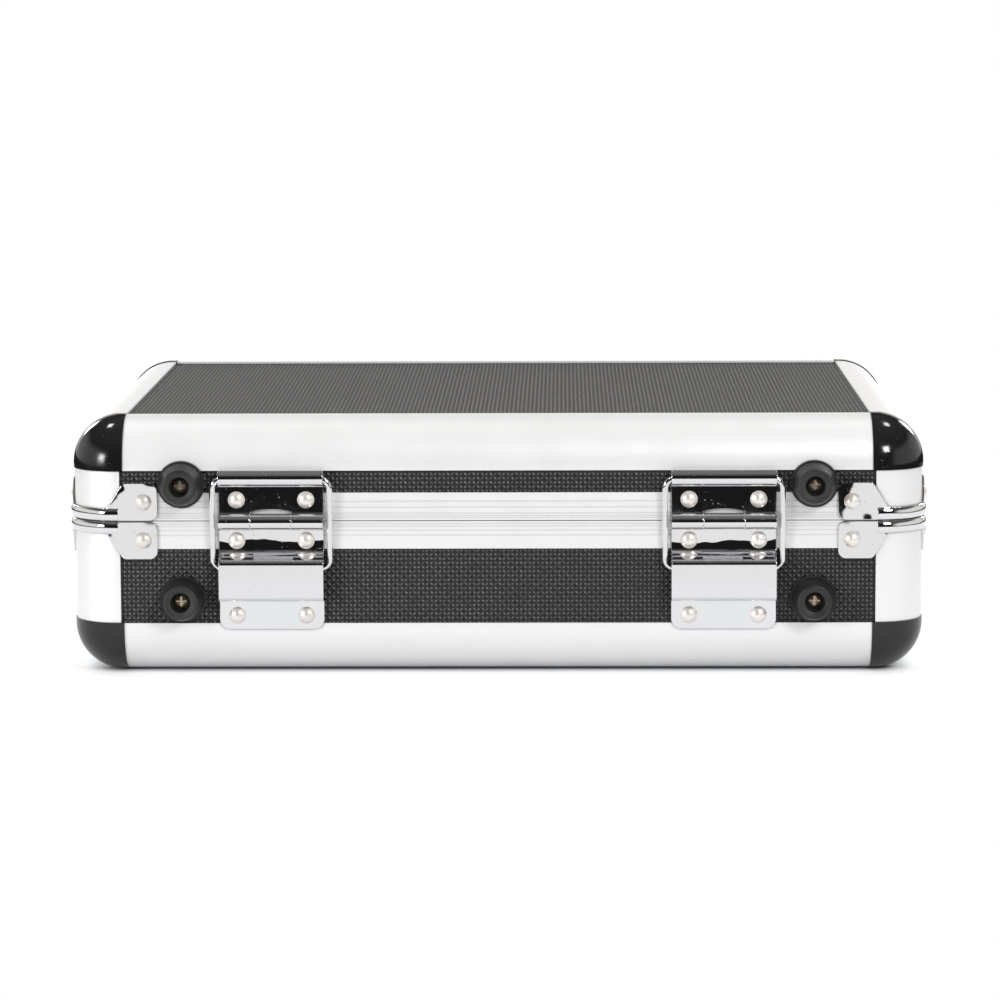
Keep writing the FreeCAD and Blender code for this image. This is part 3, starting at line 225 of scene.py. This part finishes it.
def grain_group():
    """Drawn lines of an extrusion: noise that is stretched along its run."""
    tree, source, sink = group_tree(
        "drawn_grain", [("Coordinates", "vector"), ("Stretch", "vector")],
        [("Height", "value"), ("Shade", "value")])
    stretched = vector_maths(tree, "MULTIPLY", source["Coordinates"], source["Stretch"])
    fine = add(tree, "ShaderNodeTexNoise", Vector=stretched, Scale=1.0, Detail=3.0,
               Roughness=0.6).outputs[0]
    wide = add(tree, "ShaderNodeTexNoise", Vector=source["Coordinates"], Scale=22.0,
               Detail=2.0).outputs[0]
    join(tree, sink["Height"], fine)
    join(tree, sink["Shade"], maths(tree, "ADD", maths(tree, "MULTIPLY", fine, 0.6),
                                    maths(tree, "MULTIPLY", wide, 0.4)))
    return tree


def handling_group():
    """Smudges and dust of a handled surface: two sizes of noise and a sparse speck mask."""
    tree, source, sink = group_tree(
        "handling", [("Coordinates", "vector")], [("Smudge", "value"), ("Specks", "value")])
    smudge = add(tree, "ShaderNodeTexNoise", Vector=source["Coordinates"], Scale=70.0, Detail=5.0,
                 Roughness=0.65).outputs[0]
    speck = add(tree, "ShaderNodeTexNoise", Vector=source["Coordinates"], Scale=1500.0,
                Detail=1.0).outputs[0]
    cloud = add(tree, "ShaderNodeTexNoise", Vector=source["Coordinates"], Scale=140.0,
                Detail=2.0).outputs[0]
    join(tree, sink["Smudge"], smudge)
    join(tree, sink["Specks"], maths(tree, "MULTIPLY", fade(tree, speck, 0.70, 0.76),
                                     fade(tree, cloud, 0.45, 0.65)))
    return tree


DIAMONDS = diamond_group()
GRAIN = grain_group()
HANDLING = handling_group()


# Materials

def new_material(name):
    """A material with an empty tree, its Object coordinates and its shader."""
    material = bpy.data.materials.new(name)
    material.use_nodes = True
    tree = material.node_tree
    tree.nodes.clear()
    shader = tree.nodes.new("ShaderNodeBsdfPrincipled")
    output = tree.nodes.new("ShaderNodeOutputMaterial")
    tree.links.new(shader.outputs[0], output.inputs[0])
    place = tree.nodes.new("ShaderNodeTexCoord").outputs["Object"]
    return material, tree, shader, place


def finish_shader(tree, shader, colour, roughness, normal=None, **plain):
    join(tree, shader.inputs["Base Color"], colour)
    join(tree, shader.inputs["Roughness"], roughness)
    if normal is not None:
        join(tree, shader.inputs["Normal"], normal)
    for name, value in plain.items():
        shader.inputs[name.replace("_", " ")].default_value = value


def bump(tree, height, depth, edge=0.0):
    """Normal of a height that goes from 0 to 1 over depth metres, on edges rounded by edge."""
    made = add(tree, "ShaderNodeBump", Height=height, Distance=depth, Strength=1.0)
    if edge:
        join(tree, made.inputs["Normal"], add(tree, "ShaderNodeBevel", {"samples": 6}, Radius=edge))
    return made.outputs[0]


def painted_crease_shade(tree, reach, dark):
    """Painted shade in inner corners: the colour darkens where ambient occlusion finds surfaces
    within reach, from dark there to 1 in the open.
    """
    open_sky = add(tree, "ShaderNodeAmbientOcclusion", {"samples": 6}, Distance=reach).outputs["AO"]
    return fade(tree, open_sky, 0.40, 0.78, dark, 1.0)


def shaded(tree, colour, shade):
    """Colour times a shade."""
    return blend(tree, shade, (0.0, 0.0, 0.0), colour)


def aluminium(name, run, joint=0.10):
    """Satin anodised extrusion with drawn lines along its run, and painted shade that darkens its
    inner corners, flutes and the joints beside it.
    """
    material, tree, shader, place = new_material(name)
    stretch = tuple(12.0 if step else 2600.0 for step in run)
    grain = place_group(tree, GRAIN, Coordinates=place, Stretch=stretch)
    touched = place_group(tree, HANDLING, Coordinates=place)
    colour = blend(tree, grain["Shade"], tuple(c * 0.97 for c in ALUMINIUM), ALUMINIUM)
    # Painted shade: the colour darkens in inner corners, flutes and the joints beside other parts
    colour = shaded(tree, colour, painted_crease_shade(tree, CREASE_SHADE_REACH, joint))
    roughness = fade(tree, touched["Smudge"], 0.3, 0.7, 0.40, 0.47)
    finish_shader(tree, shader, colour, roughness, bump(tree, grain["Height"], 0.004 * MM),
                  Metallic=0.38, IOR=1.45)
    return material


def chrome(name, wave=0.02, extra=None):
    """Bright plating with a shallow ripple of the pressed sheet, faint smudges and dust.

    The ripple is wave millimetres high, and extra adds its own height in metres.
    """
    material, tree, shader, place = new_material(name)
    touched = place_group(tree, HANDLING, Coordinates=place)
    ripple = add(tree, "ShaderNodeTexNoise", Vector=place, Scale=85.0, Detail=1.0).outputs[0]
    colour = blend(tree, touched["Specks"], CHROME, (0.80, 0.80, 0.79))
    smooth = fade(tree, touched["Smudge"], 0.45, 0.8, 0.02, 0.07)
    roughness = maths(tree, "ADD", smooth, maths(tree, "MULTIPLY", touched["Specks"], 0.4))
    height = maths(tree, "MULTIPLY", ripple, wave * MM)
    if extra:
        height = maths(tree, "ADD", height, extra(tree, place))
    finish_shader(tree, shader, colour, roughness, bump(tree, height, 1.0, SHEET_EDGE),
                  Metallic=1.0)
    return material


def leaning(tree, place):
    """Height of a plate whose lean varies along it: z times WING_LEAN plus a slow noise."""
    axes = add(tree, "ShaderNodeSeparateXYZ", Vector=place).outputs
    along = vector_maths(tree, "MULTIPLY", place, WING_STRETCH)
    slow = add(tree, "ShaderNodeTexNoise", Vector=along, Scale=1.0, Detail=0.0).outputs[0]
    lean = maths(tree, "MULTIPLY_ADD", maths(tree, "SUBTRACT", slow, 0.5), WING_TWIST, WING_LEAN)
    rise = maths(tree, "SUBTRACT", axes[2], frame_middle("lid_rim_brackets"))
    return maths(tree, "MULTIPLY", rise, lean)


def frame_middle(name):
    """Height of the middle of a CAD node."""
    low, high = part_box(name)
    return (low[2] + high[2]) / 2


def swept_neck(tree, place):
    """Height of the sheet where it starts to sweep out to the pocket of the hinge.

    With t as the distance below a wavy line at NECK_TOP, held between 0 and NECK_LENGTH, the
    height is NECK_CURVE t^2 / 2.
    """
    axes = add(tree, "ShaderNodeSeparateXYZ", Vector=place).outputs
    waver = add(tree, "ShaderNodeTexNoise", Vector=place, Scale=120.0, Detail=1.0).outputs[0]
    start = maths(tree, "MULTIPLY_ADD", waver, 5.0 * MM, NECK_TOP - 2.5 * MM)
    below = maths(tree, "SUBTRACT", start, axes[2])
    held = maths(tree, "MINIMUM", maths(tree, "MAXIMUM", below, 0.0), NECK_LENGTH)
    return maths(tree, "MULTIPLY", maths(tree, "MULTIPLY", held, held), NECK_CURVE / 2)


def raised_frame(tree, place):
    """Height of the raised rib that is pressed round the face of a latch lever.

    With d as the distance to a rectangle inset from the lever's outline, the height is
    FRAME_HEIGHT at d = 0 and fades to nothing at FRAME_WIDTH.
    """
    low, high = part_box("right_latch_lever")
    axes = add(tree, "ShaderNodeSeparateXYZ", Vector=place).outputs
    sideways = maths(tree, "ABSOLUTE", maths(tree, "SUBTRACT", maths(tree, "ABSOLUTE", axes[0]),
                                             (low[0] + high[0]) / 2))
    upwards = maths(tree, "ABSOLUTE", maths(tree, "SUBTRACT", axes[2], (low[2] + high[2]) / 2))
    sideways = maths(tree, "SUBTRACT", sideways, (high[0] - low[0]) / 2 - FRAME_INSET)
    upwards = maths(tree, "SUBTRACT", upwards, (high[2] - low[2]) / 2 - 2 * FRAME_INSET)
    distance = maths(tree, "ABSOLUTE", maths(tree, "MAXIMUM", sideways, upwards))
    on_face = fade(tree, axes[1], low[1] + 5 * MM, low[1] + 4 * MM)
    return maths(tree, "MULTIPLY", on_face, fade(tree, distance, FRAME_WIDTH, 0.0, 0.0, FRAME_HEIGHT))


def rivet_metal():
    """Softly polished nickel heads, a little warm."""
    material, tree, shader, place = new_material("rivet_nickel")
    touched = place_group(tree, HANDLING, Coordinates=place)
    colour = blend(tree, fade(tree, touched["Smudge"], 0.35, 0.7), RIVET_METAL,
                   tuple(c * 0.86 for c in RIVET_METAL))
    finish_shader(tree, shader, colour, fade(tree, touched["Smudge"], 0.3, 0.7, 0.30, 0.42),
                  bump(tree, touched["Smudge"], 0.02 * MM), Metallic=0.6)
    return material


def embossed_panel(name, along, across, light=PANEL_DOT_HIGHLIGHT):
    """Black plastic laminate with pressed diamonds and a painted highlight on the ridge dots; along
    and across pick its two axes.
    """
    material, tree, shader, place = new_material(name)
    axes = add(tree, "ShaderNodeSeparateXYZ", Vector=place).outputs
    lattice = place_group(tree, DIAMONDS, Along=axes[along], Across=axes[across])
    touched = place_group(tree, HANDLING, Coordinates=place)
    uneven = add(tree, "ShaderNodeTexNoise", Vector=place, Scale=700.0, Detail=1.0).outputs[0]
    # Painted highlight on the ridge dots, spread unevenly by fine noise and smudges
    uneven_highlight = maths(tree, "MULTIPLY", fade(tree, uneven, 0.3, 0.7, 0.35, 1.0),
                 fade(tree, touched["Smudge"], 0.3, 0.7, 0.75, 1.0))
    colour = blend(tree, maths(tree, "MULTIPLY", uneven_highlight, lattice["Dots"]), PANEL_BLACK, light)
    # Painted shade where the panel meets the profiles and other parts
    colour = shaded(tree, colour, painted_crease_shade(tree, CREASE_SHADE_REACH, 0.05))
    roughness = blend_value(tree, lattice["Dots"], 0.50, 0.30)
    finish_shader(tree, shader, colour, roughness, bump(tree, lattice["Height"], 0.36 * MM))
    return material


def corner_plastic():
    """Glossy black moulding with faint flow marks."""
    material, tree, shader, place = new_material("corner_gloss")
    touched = place_group(tree, HANDLING, Coordinates=place)
    colour = blend(tree, touched["Specks"], CORNER_BLACK, (0.12, 0.12, 0.12))
    roughness = fade(tree, touched["Smudge"], 0.4, 0.75, 0.09, 0.24)
    finish_shader(tree, shader, colour, roughness, bump(tree, touched["Smudge"], 0.012 * MM))
    return material


def rubber():
    """Matt moulded rubber with a fine tooth."""
    material, tree, shader, place = new_material("foot_rubber")
    touched = place_group(tree, HANDLING, Coordinates=place)
    tooth = add(tree, "ShaderNodeTexNoise", Vector=place, Scale=2600.0, Detail=2.0).outputs[0]
    colour = blend(tree, fade(tree, touched["Smudge"], 0.4, 0.75), RUBBER_BLACK,
                   (0.028, 0.028, 0.028))
    finish_shader(tree, shader, colour, fade(tree, touched["Smudge"], 0.3, 0.7, 0.42, 0.6),
                  bump(tree, tooth, 0.03 * MM))
    return material


def brass():
    """Dull brass plating with turned marks."""
    material, tree, shader, place = new_material("screw_brass")
    touched = place_group(tree, HANDLING, Coordinates=place)
    colour = blend(tree, fade(tree, touched["Smudge"], 0.35, 0.7), BRASS,
                   tuple(c * 0.7 for c in BRASS))
    finish_shader(tree, shader, colour, fade(tree, touched["Smudge"], 0.3, 0.7, 0.25, 0.42),
                  bump(tree, touched["Smudge"], 0.03 * MM), Metallic=1.0)
    return material


def handle_plastic():
    """Black moulded grip with a leather-like grain."""
    material, tree, shader, place = new_material("handle_grain")
    touched = place_group(tree, HANDLING, Coordinates=place)
    cells = add(tree, "ShaderNodeTexVoronoi", {"feature": "DISTANCE_TO_EDGE"}, Vector=place,
                Scale=620.0).outputs[0]
    grain = fade(tree, cells, 0.0, 0.25)
    colour = blend(tree, grain, tuple(c * 0.7 for c in HANDLE_BLACK), HANDLE_BLACK)
    finish_shader(tree, shader, colour, fade(tree, touched["Smudge"], 0.3, 0.7, 0.34, 0.48),
                  bump(tree, grain, 0.06 * MM))
    return material


def lock_metal():
    """Brushed die-cast plug."""
    material, tree, shader, place = new_material("lock_steel")
    grain = place_group(tree, GRAIN, Coordinates=place, Stretch=(2200.0, 200.0, 200.0))
    colour = blend(tree, grain["Shade"], tuple(c * 0.8 for c in LOCK_STEEL), LOCK_STEEL)
    finish_shader(tree, shader, colour, 0.24, bump(tree, grain["Height"], 0.01 * MM),
                  Metallic=1.0)
    return material


def cell_foam(name, colour, pore):
    """Closed-cell foam: fine pores of a given scale under a soft mottling."""
    material, tree, shader, place = new_material(name)
    pores = add(tree, "ShaderNodeTexVoronoi", Vector=place, Scale=pore).outputs[0]
    mottle = add(tree, "ShaderNodeTexNoise", Vector=place, Scale=60.0, Detail=4.0).outputs[0]
    shade = maths(tree, "MULTIPLY", fade(tree, pores, 0.05, 0.5, 0.55, 1.0),
                  fade(tree, mottle, 0.3, 0.7, 0.85, 1.0))
    base = blend(tree, shade, tuple(c * 0.35 for c in colour), colour)
    finish_shader(tree, shader, base, fade(tree, mottle, 0.3, 0.7, 0.86, 0.95),
                  bump(tree, fade(tree, pores, 0.0, 0.6), 0.25 * MM), Sheen_Weight=0.15)
    return material


def dress(material, *names):
    """Give CAD nodes a material through their objects' slots."""
    for name in names:
        for slot in nodes[name].material_slots:
            slot.link = "OBJECT"
            slot.material = material


def dress_case():
    halves = ("base", "lid")
    along_x = aluminium("aluminium_along_x", X_RUN)
    along_y = aluminium("aluminium_along_y", Y_RUN)
    upright = aluminium("aluminium_upright", Z_RUN)
    rim_along_x = aluminium("rim_along_x", X_RUN, 0.5)
    rim_along_y = aluminium("rim_along_y", Y_RUN, 0.5)
    back_front = embossed_panel("panel_back_front", 0, 2)
    left_right = embossed_panel("panel_left_right", 1, 2)
    flat = embossed_panel("panel_flat", 0, 1)
    # The top panel's dots carry a brighter painted highlight
    top = embossed_panel("panel_top", 0, 1, TOP_DOT_HIGHLIGHT)
    plating = chrome("chrome_plating")
    pressed = chrome("chrome_pressed", 0.04)
    wrapped = chrome("chrome_wrapped", 0.12)
    wavy = chrome("chrome_wavy", 0.12, leaning)
    swept = chrome("chrome_swept", 0.04, swept_neck)
    framed = chrome("chrome_framed", 0.04, raised_frame)
    for half in halves:
        for side in ("back", "front"):
            dress(along_x, f"{half}_{side}_edge")
            dress(rim_along_x, f"{half}_{side}_rim")
            dress(back_front, f"{half}_{side}_panel")
        for side in ("left", "right"):
            dress(along_y, f"{half}_{side}_edge")
            dress(rim_along_y, f"{half}_{side}_rim")
            dress(left_right, f"{half}_{side}_panel")
        dress(upright, f"{half}_corner_posts")
    dress(flat, "bottom_panel")
    dress(top, "top_panel")
    dress(corner_plastic(), "base_ball_corners", "lid_ball_corners")
    dress(rivet_metal(), "base_rivets", "lid_rivets")
    dress(rubber(), "base_feet", "lid_feet")
    dress(brass(), "base_foot_screws", "lid_foot_screws")
    dress(wrapped, "base_rim_brackets")
    dress(wavy, "lid_rim_brackets")
    dress(pressed, "latch_catches", "handle_brackets")
    dress(plating, "hinge_pins", "latch_pins", "handle_pins")
    dress(handle_plastic(), "handle_grip")
    lock = lock_metal()
    for side in ("left", "right"):
        dress(swept, f"{side}_hinge_base_leaf")
        dress(pressed, f"{side}_hinge_lid_leaf", f"{side}_latch_plate")
        dress(framed, f"{side}_latch_lever")
        dress(plating, f"{side}_stay_ring", f"{side}_latch_bail")
        dress(lock, f"{side}_lock_plug")


# Linings

def grid_piece(name, points, closed_faces):
    """Mesh object from points of shape (n, 3) and an array of quads."""
    mesh = bpy.data.meshes.new(name)
    mesh.from_pydata(points.tolist(), [], closed_faces.tolist())
    mesh.shade_smooth()
    piece = bpy.data.objects.new(name, mesh)
    bpy.context.scene.collection.objects.link(piece)
    return piece


def slab(name, low, high, crown, cells):
    """Closed sheet of foam between two corners, its outer skin set by a crown function.

    The upper and lower skins are grids of (u, v) in -1..1. Near the border both are drawn in
    by a quarter circle of the sheet's own softness, and the walls join their edges.
    """
    nx, ny = cells
    u = np.linspace(-1, 1, nx)
    v = np.linspace(-1, 1, ny)
    grid_u, grid_v = np.meshgrid(u, v, indexing="ij")
    x = (low[0] + high[0]) / 2 + grid_u * (high[0] - low[0]) / 2
    y = (low[1] + high[1]) / 2 + grid_v * (high[1] - low[1]) / 2
    lower, upper = crown(x, y, low, high)
    bottom = np.stack([x, y, lower], -1).reshape(-1, 3)
    top = np.stack([x, y, upper], -1).reshape(-1, 3)
    index = np.arange(nx * ny).reshape(nx, ny)
    quads = np.stack([index[:-1, :-1], index[1:, :-1], index[1:, 1:], index[:-1, 1:]], -1)
    quads = quads.reshape(-1, 4)
    count = nx * ny
    border = np.concatenate([index[:, 0], index[-1, 1:], index[-2::-1, -1], index[0, -2:0:-1]])
    after = np.roll(border, -1)
    wall = np.stack([border, after, after + count, border + count], -1)
    faces = np.concatenate([quads[:, ::-1], quads + count, wall])
    return grid_piece(name, np.concatenate([bottom, top]), faces)


def softened(x, y, low, high, radius):
    """Fall of a skin near the border: radius - sqrt(radius^2 - (radius - d)^2), d from the edge."""
    reach = np.minimum(np.minimum(x - low[0], high[0] - x), np.minimum(y - low[1], high[1] - y))
    short = np.clip(radius - reach, 0, radius)
    return radius - np.sqrt(radius ** 2 - short ** 2)


def floor_pad():
    """Flat pad with a rounded upper border and a faint swell between its edges."""
    low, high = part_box("base_floor_pad")

    def crown(x, y, low, high):
        swell = 0.25 * MM * (np.sin(x * 61) * np.sin(y * 53) - 1)
        upper = high[2] + swell - softened(x, y, low, high, 2.5 * MM)
        return np.full_like(x, low[2]), upper

    pad = slab("floor_pad", low, high, crown, (150, 120))
    pad.data.materials.append(cell_foam("floor_foam_cells", PAD_GREY, 1500.0))
    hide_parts("base_floor_pad")
    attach(pad, "base")


def lid_foam():
    """Convoluted foam: a plain back, and peaks and hollows of sin(x) sin(y) towards the case."""
    low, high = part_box("lid_foam_pad")
    pitch = 26 * MM
    depth = 11 * MM

    def crown(x, y, low, high):
        columns = max(2, round((high[0] - low[0]) / pitch))
        rows = max(2, round((high[1] - low[1]) / pitch))
        wave_x = np.cos((x - low[0]) / (high[0] - low[0]) * columns * 2 * math.pi)
        wave_y = np.cos((y - low[1]) / (high[1] - low[1]) * rows * 2 * math.pi)
        wave = (wave_x + wave_y) / 2
        lower = low[2] + depth * (1 + wave) / 2 + softened(x, y, low, high, 3 * MM)
        return lower, np.full_like(x, high[2])

    foam = slab("lid_foam", low, high, crown, (261, 201))
    foam.data.materials.append(cell_foam("lid_foam_cells", FOAM_GREY, 1100.0))
    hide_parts("lid_foam_pad")
    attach(foam, "lid")


# Camera, floor and light

def make_camera():
    """Camera from its place and angles; the case is seen from its back, so it looks along -Y."""
    cp, sp = math.cos(CAMERA_PITCH), math.sin(CAMERA_PITCH)
    cy, sy = math.cos(CAMERA_YAW), math.sin(CAMERA_YAW)
    cr, sr = math.cos(CAMERA_ROLL), math.sin(CAMERA_ROLL)
    ahead = Vector((-sy * cp, -cy * cp, -sp))
    level = Vector((-cy, sy, 0))
    above = level.cross(ahead)
    right = level * cr + above * sr
    up = above * cr - level * sr
    data = bpy.data.cameras.new("camera")
    data.lens = CAMERA_LENS
    data.sensor_width = 36
    data.clip_start, data.clip_end = 0.05, 50
    camera = bpy.data.objects.new("camera", data)
    turn = Matrix((right, up, -ahead)).transposed()
    camera.matrix_world = Matrix.LocRotScale(Vector(CAMERA_PLACE), turn, None)
    bpy.context.scene.collection.objects.link(camera)
    bpy.context.scene.camera = camera


def ray_is(tree, kind):
    return tree.nodes.new("ShaderNodeLightPath").outputs[kind]


def floor_material():
    """Pale table top that keeps the shadow near the case and is white further off.

    The camera and reflections see white added to the lit floor. Beyond the table's end,
    reflections see the dark of the room. From below the floor is clear, and the floor well
    under the case lights the bottom panel.
    """
    material = bpy.data.materials.new("floor_white")
    material.use_nodes = True
    tree = material.node_tree
    tree.nodes.clear()
    place = tree.nodes.new("ShaderNodeTexCoord").outputs["Object"]
    over = vector_maths(tree, "SUBTRACT", vector_maths(tree, "ABSOLUTE", place), CASE_CORE)
    distance = length_of(tree, vector_maths(tree, "MAXIMUM", over, (0, 0, 0)))
    under = fade(tree, distance, 0.0, UNDER_FADE, UNDER_GLOW, 0.0)
    distance = maths(tree, "SUBTRACT", distance, CASE_ROUND)
    under = add(tree, "ShaderNodeEmission", Color=FLOOR_TINT, Strength=under)
    lit = add(tree, "ShaderNodeBsdfDiffuse", Color=(FLOOR_ALBEDO,) * 3)
    lit = add(tree, "ShaderNodeAddShader", in0=lit, in1=under)
    shade = add(tree, "ShaderNodeBsdfDiffuse", Color=FLOOR_SEEN)
    near_glow = fade(tree, distance, FLOOR_GLOW_START, FLOOR_GLOW_FULL, 0.0, FLOOR_GLOW_NEAR)
    far_glow = fade(tree, distance, FLOOR_GLOW_START, FLOOR_GLOW_REACH, 0.0, FLOOR_GLOW_FAR)
    glow = maths(tree, "ADD", near_glow, far_glow)
    dimmed = blend_value(tree, ray_is(tree, "Is Glossy Ray"), 1.0, MIRROR_GLOW)
    glow = add(tree, "ShaderNodeEmission", Color=FLOOR_TINT,
               Strength=maths(tree, "MULTIPLY", glow, dimmed))
    near = add(tree, "ShaderNodeAddShader", in0=shade, in1=glow)
    white = add(tree, "ShaderNodeEmission", Color=FLOOR_TINT, Strength=1.0)
    seen = add(tree, "ShaderNodeMixShader", in0=fade(tree, distance, FLOOR_NEAR, FLOOR_FAR),
               in1=near, in2=white)
    dark = add(tree, "ShaderNodeEmission", Color=(1.0, 1.0, 1.0), Strength=ROOM_DARK)
    mirrored = add(tree, "ShaderNodeMixShader",
                   in0=fade(tree, distance, FLOOR_END, FLOOR_END + 0.02), in1=seen, in2=dark)
    for_light = add(tree, "ShaderNodeMixShader", in0=ray_is(tree, "Is Glossy Ray"), in1=lit,
                    in2=mirrored)
    surface = add(tree, "ShaderNodeMixShader", in0=ray_is(tree, "Is Camera Ray"), in1=for_light,
                  in2=seen)
    below = tree.nodes.new("ShaderNodeNewGeometry").outputs["Backfacing"]
    clear = tree.nodes.new("ShaderNodeBsdfTransparent")
    surface = add(tree, "ShaderNodeMixShader", in0=below, in1=surface, in2=clear)
    output = tree.nodes.new("ShaderNodeOutputMaterial")
    tree.links.new(surface.outputs[0], output.inputs[0])
    return material


def make_floor():
    half = FLOOR_HALF
    mesh = bpy.data.meshes.new("floor")
    mesh.from_pydata([(-half, -half, -FLOOR_DROP), (half, -half, -FLOOR_DROP),
                      (half, half, -FLOOR_DROP), (-half, half, -FLOOR_DROP)], [], [(0, 1, 2, 3)])
    mesh.materials.append(floor_material())
    floor = bpy.data.objects.new("floor", mesh)
    bpy.context.scene.collection.objects.link(floor)


def make_world():
    """White for the camera, even light for matt surfaces, and a room for reflections.

    The room is a pale backdrop low behind the case, a grey ceiling overhead and dark walls.
    """
    world = bpy.data.worlds.new("studio")
    world.use_nodes = True
    tree = world.node_tree
    tree.nodes.clear()
    way = tree.nodes.new("ShaderNodeTexCoord").outputs["Generated"]
    axes = add(tree, "ShaderNodeSeparateXYZ", Vector=way).outputs
    ceiling = fade(tree, axes[2], 0.35, 0.95, ROOM_DARK, CEILING)
    behind = maths(tree, "MULTIPLY", fade(tree, axes[1], -0.55, -0.85),
                   fade(tree, axes[2], 0.50, 0.20))
    walls = maths(tree, "MULTIPLY", fade(tree, maths(tree, "ABSOLUTE", axes[0]), 0.55, 0.80),
                  fade(tree, axes[2], 0.60, 0.35, 0.0, WALLS))
    room = maths(tree, "MAXIMUM", ceiling, maths(tree, "MAXIMUM", behind, walls))
    mirrored = maths(tree, "MULTIPLY", ray_is(tree, "Is Glossy Ray"), room)
    camera = ray_is(tree, "Is Camera Ray")
    others = maths(tree, "SUBTRACT", 1.0, ray_is(tree, "Is Glossy Ray"))
    even = maths(tree, "MULTIPLY", others,
                 fade(tree, axes[2], 0.0, 1.0, AMBIENT, AMBIENT + SKYLIGHT))
    unseen = maths(tree, "ADD", mirrored, even)
    level = add(tree, "ShaderNodeMix", in0=camera, in2=unseen, in3=1.0).outputs[0]
    tint = blend(tree, camera, ROOM_TINT, (1.0, 1.0, 1.0))
    background = add(tree, "ShaderNodeBackground", Color=tint, Strength=level)
    output = tree.nodes.new("ShaderNodeOutputWorld")
    tree.links.new(background.outputs[0], output.inputs[0])
    bpy.context.scene.world = world


def soft_light(name, place, aim, size, power):
    """Rectangular soft box at a place, turned to its aim, that the camera doesn't see."""
    data = bpy.data.lights.new(name, "AREA")
    data.shape = "RECTANGLE"
    data.size, data.size_y = size
    data.energy = power
    light = bpy.data.objects.new(name, data)
    light.location = place
    light.rotation_mode = "QUATERNION"
    light.rotation_quaternion = (Vector(aim) - Vector(place)).to_track_quat("-Z", "Y")
    light.visible_camera = False
    bpy.context.scene.collection.objects.link(light)


def make_lights():
    """Two lamps on the side of the hinges, two overhead and two weaker ones at the front."""
    middle = (0, 0, 0.05)
    soft_light("low_box", (1.25, 1.18, 0.42), middle, (0.36, 0.36), 10)
    soft_light("high_box", (-0.80, 1.35, 0.92), middle, (0.36, 0.36), 10.5)
    for side in (-1, 1):
        soft_light(f"overhead_{side}", (0.65 * side, -0.30, 1.45), middle, (0.26, 0.2), 2.5)
        soft_light(f"front_box_{side}", (0.95 * side, -1.30, 0.65), middle, (0.3, 0.4), 4.5)


bpy.context.scene.view_settings.view_transform = "Standard"
make_camera()
make_floor()
make_world()
make_lights()
dress_case()
floor_pad()
lid_foam()
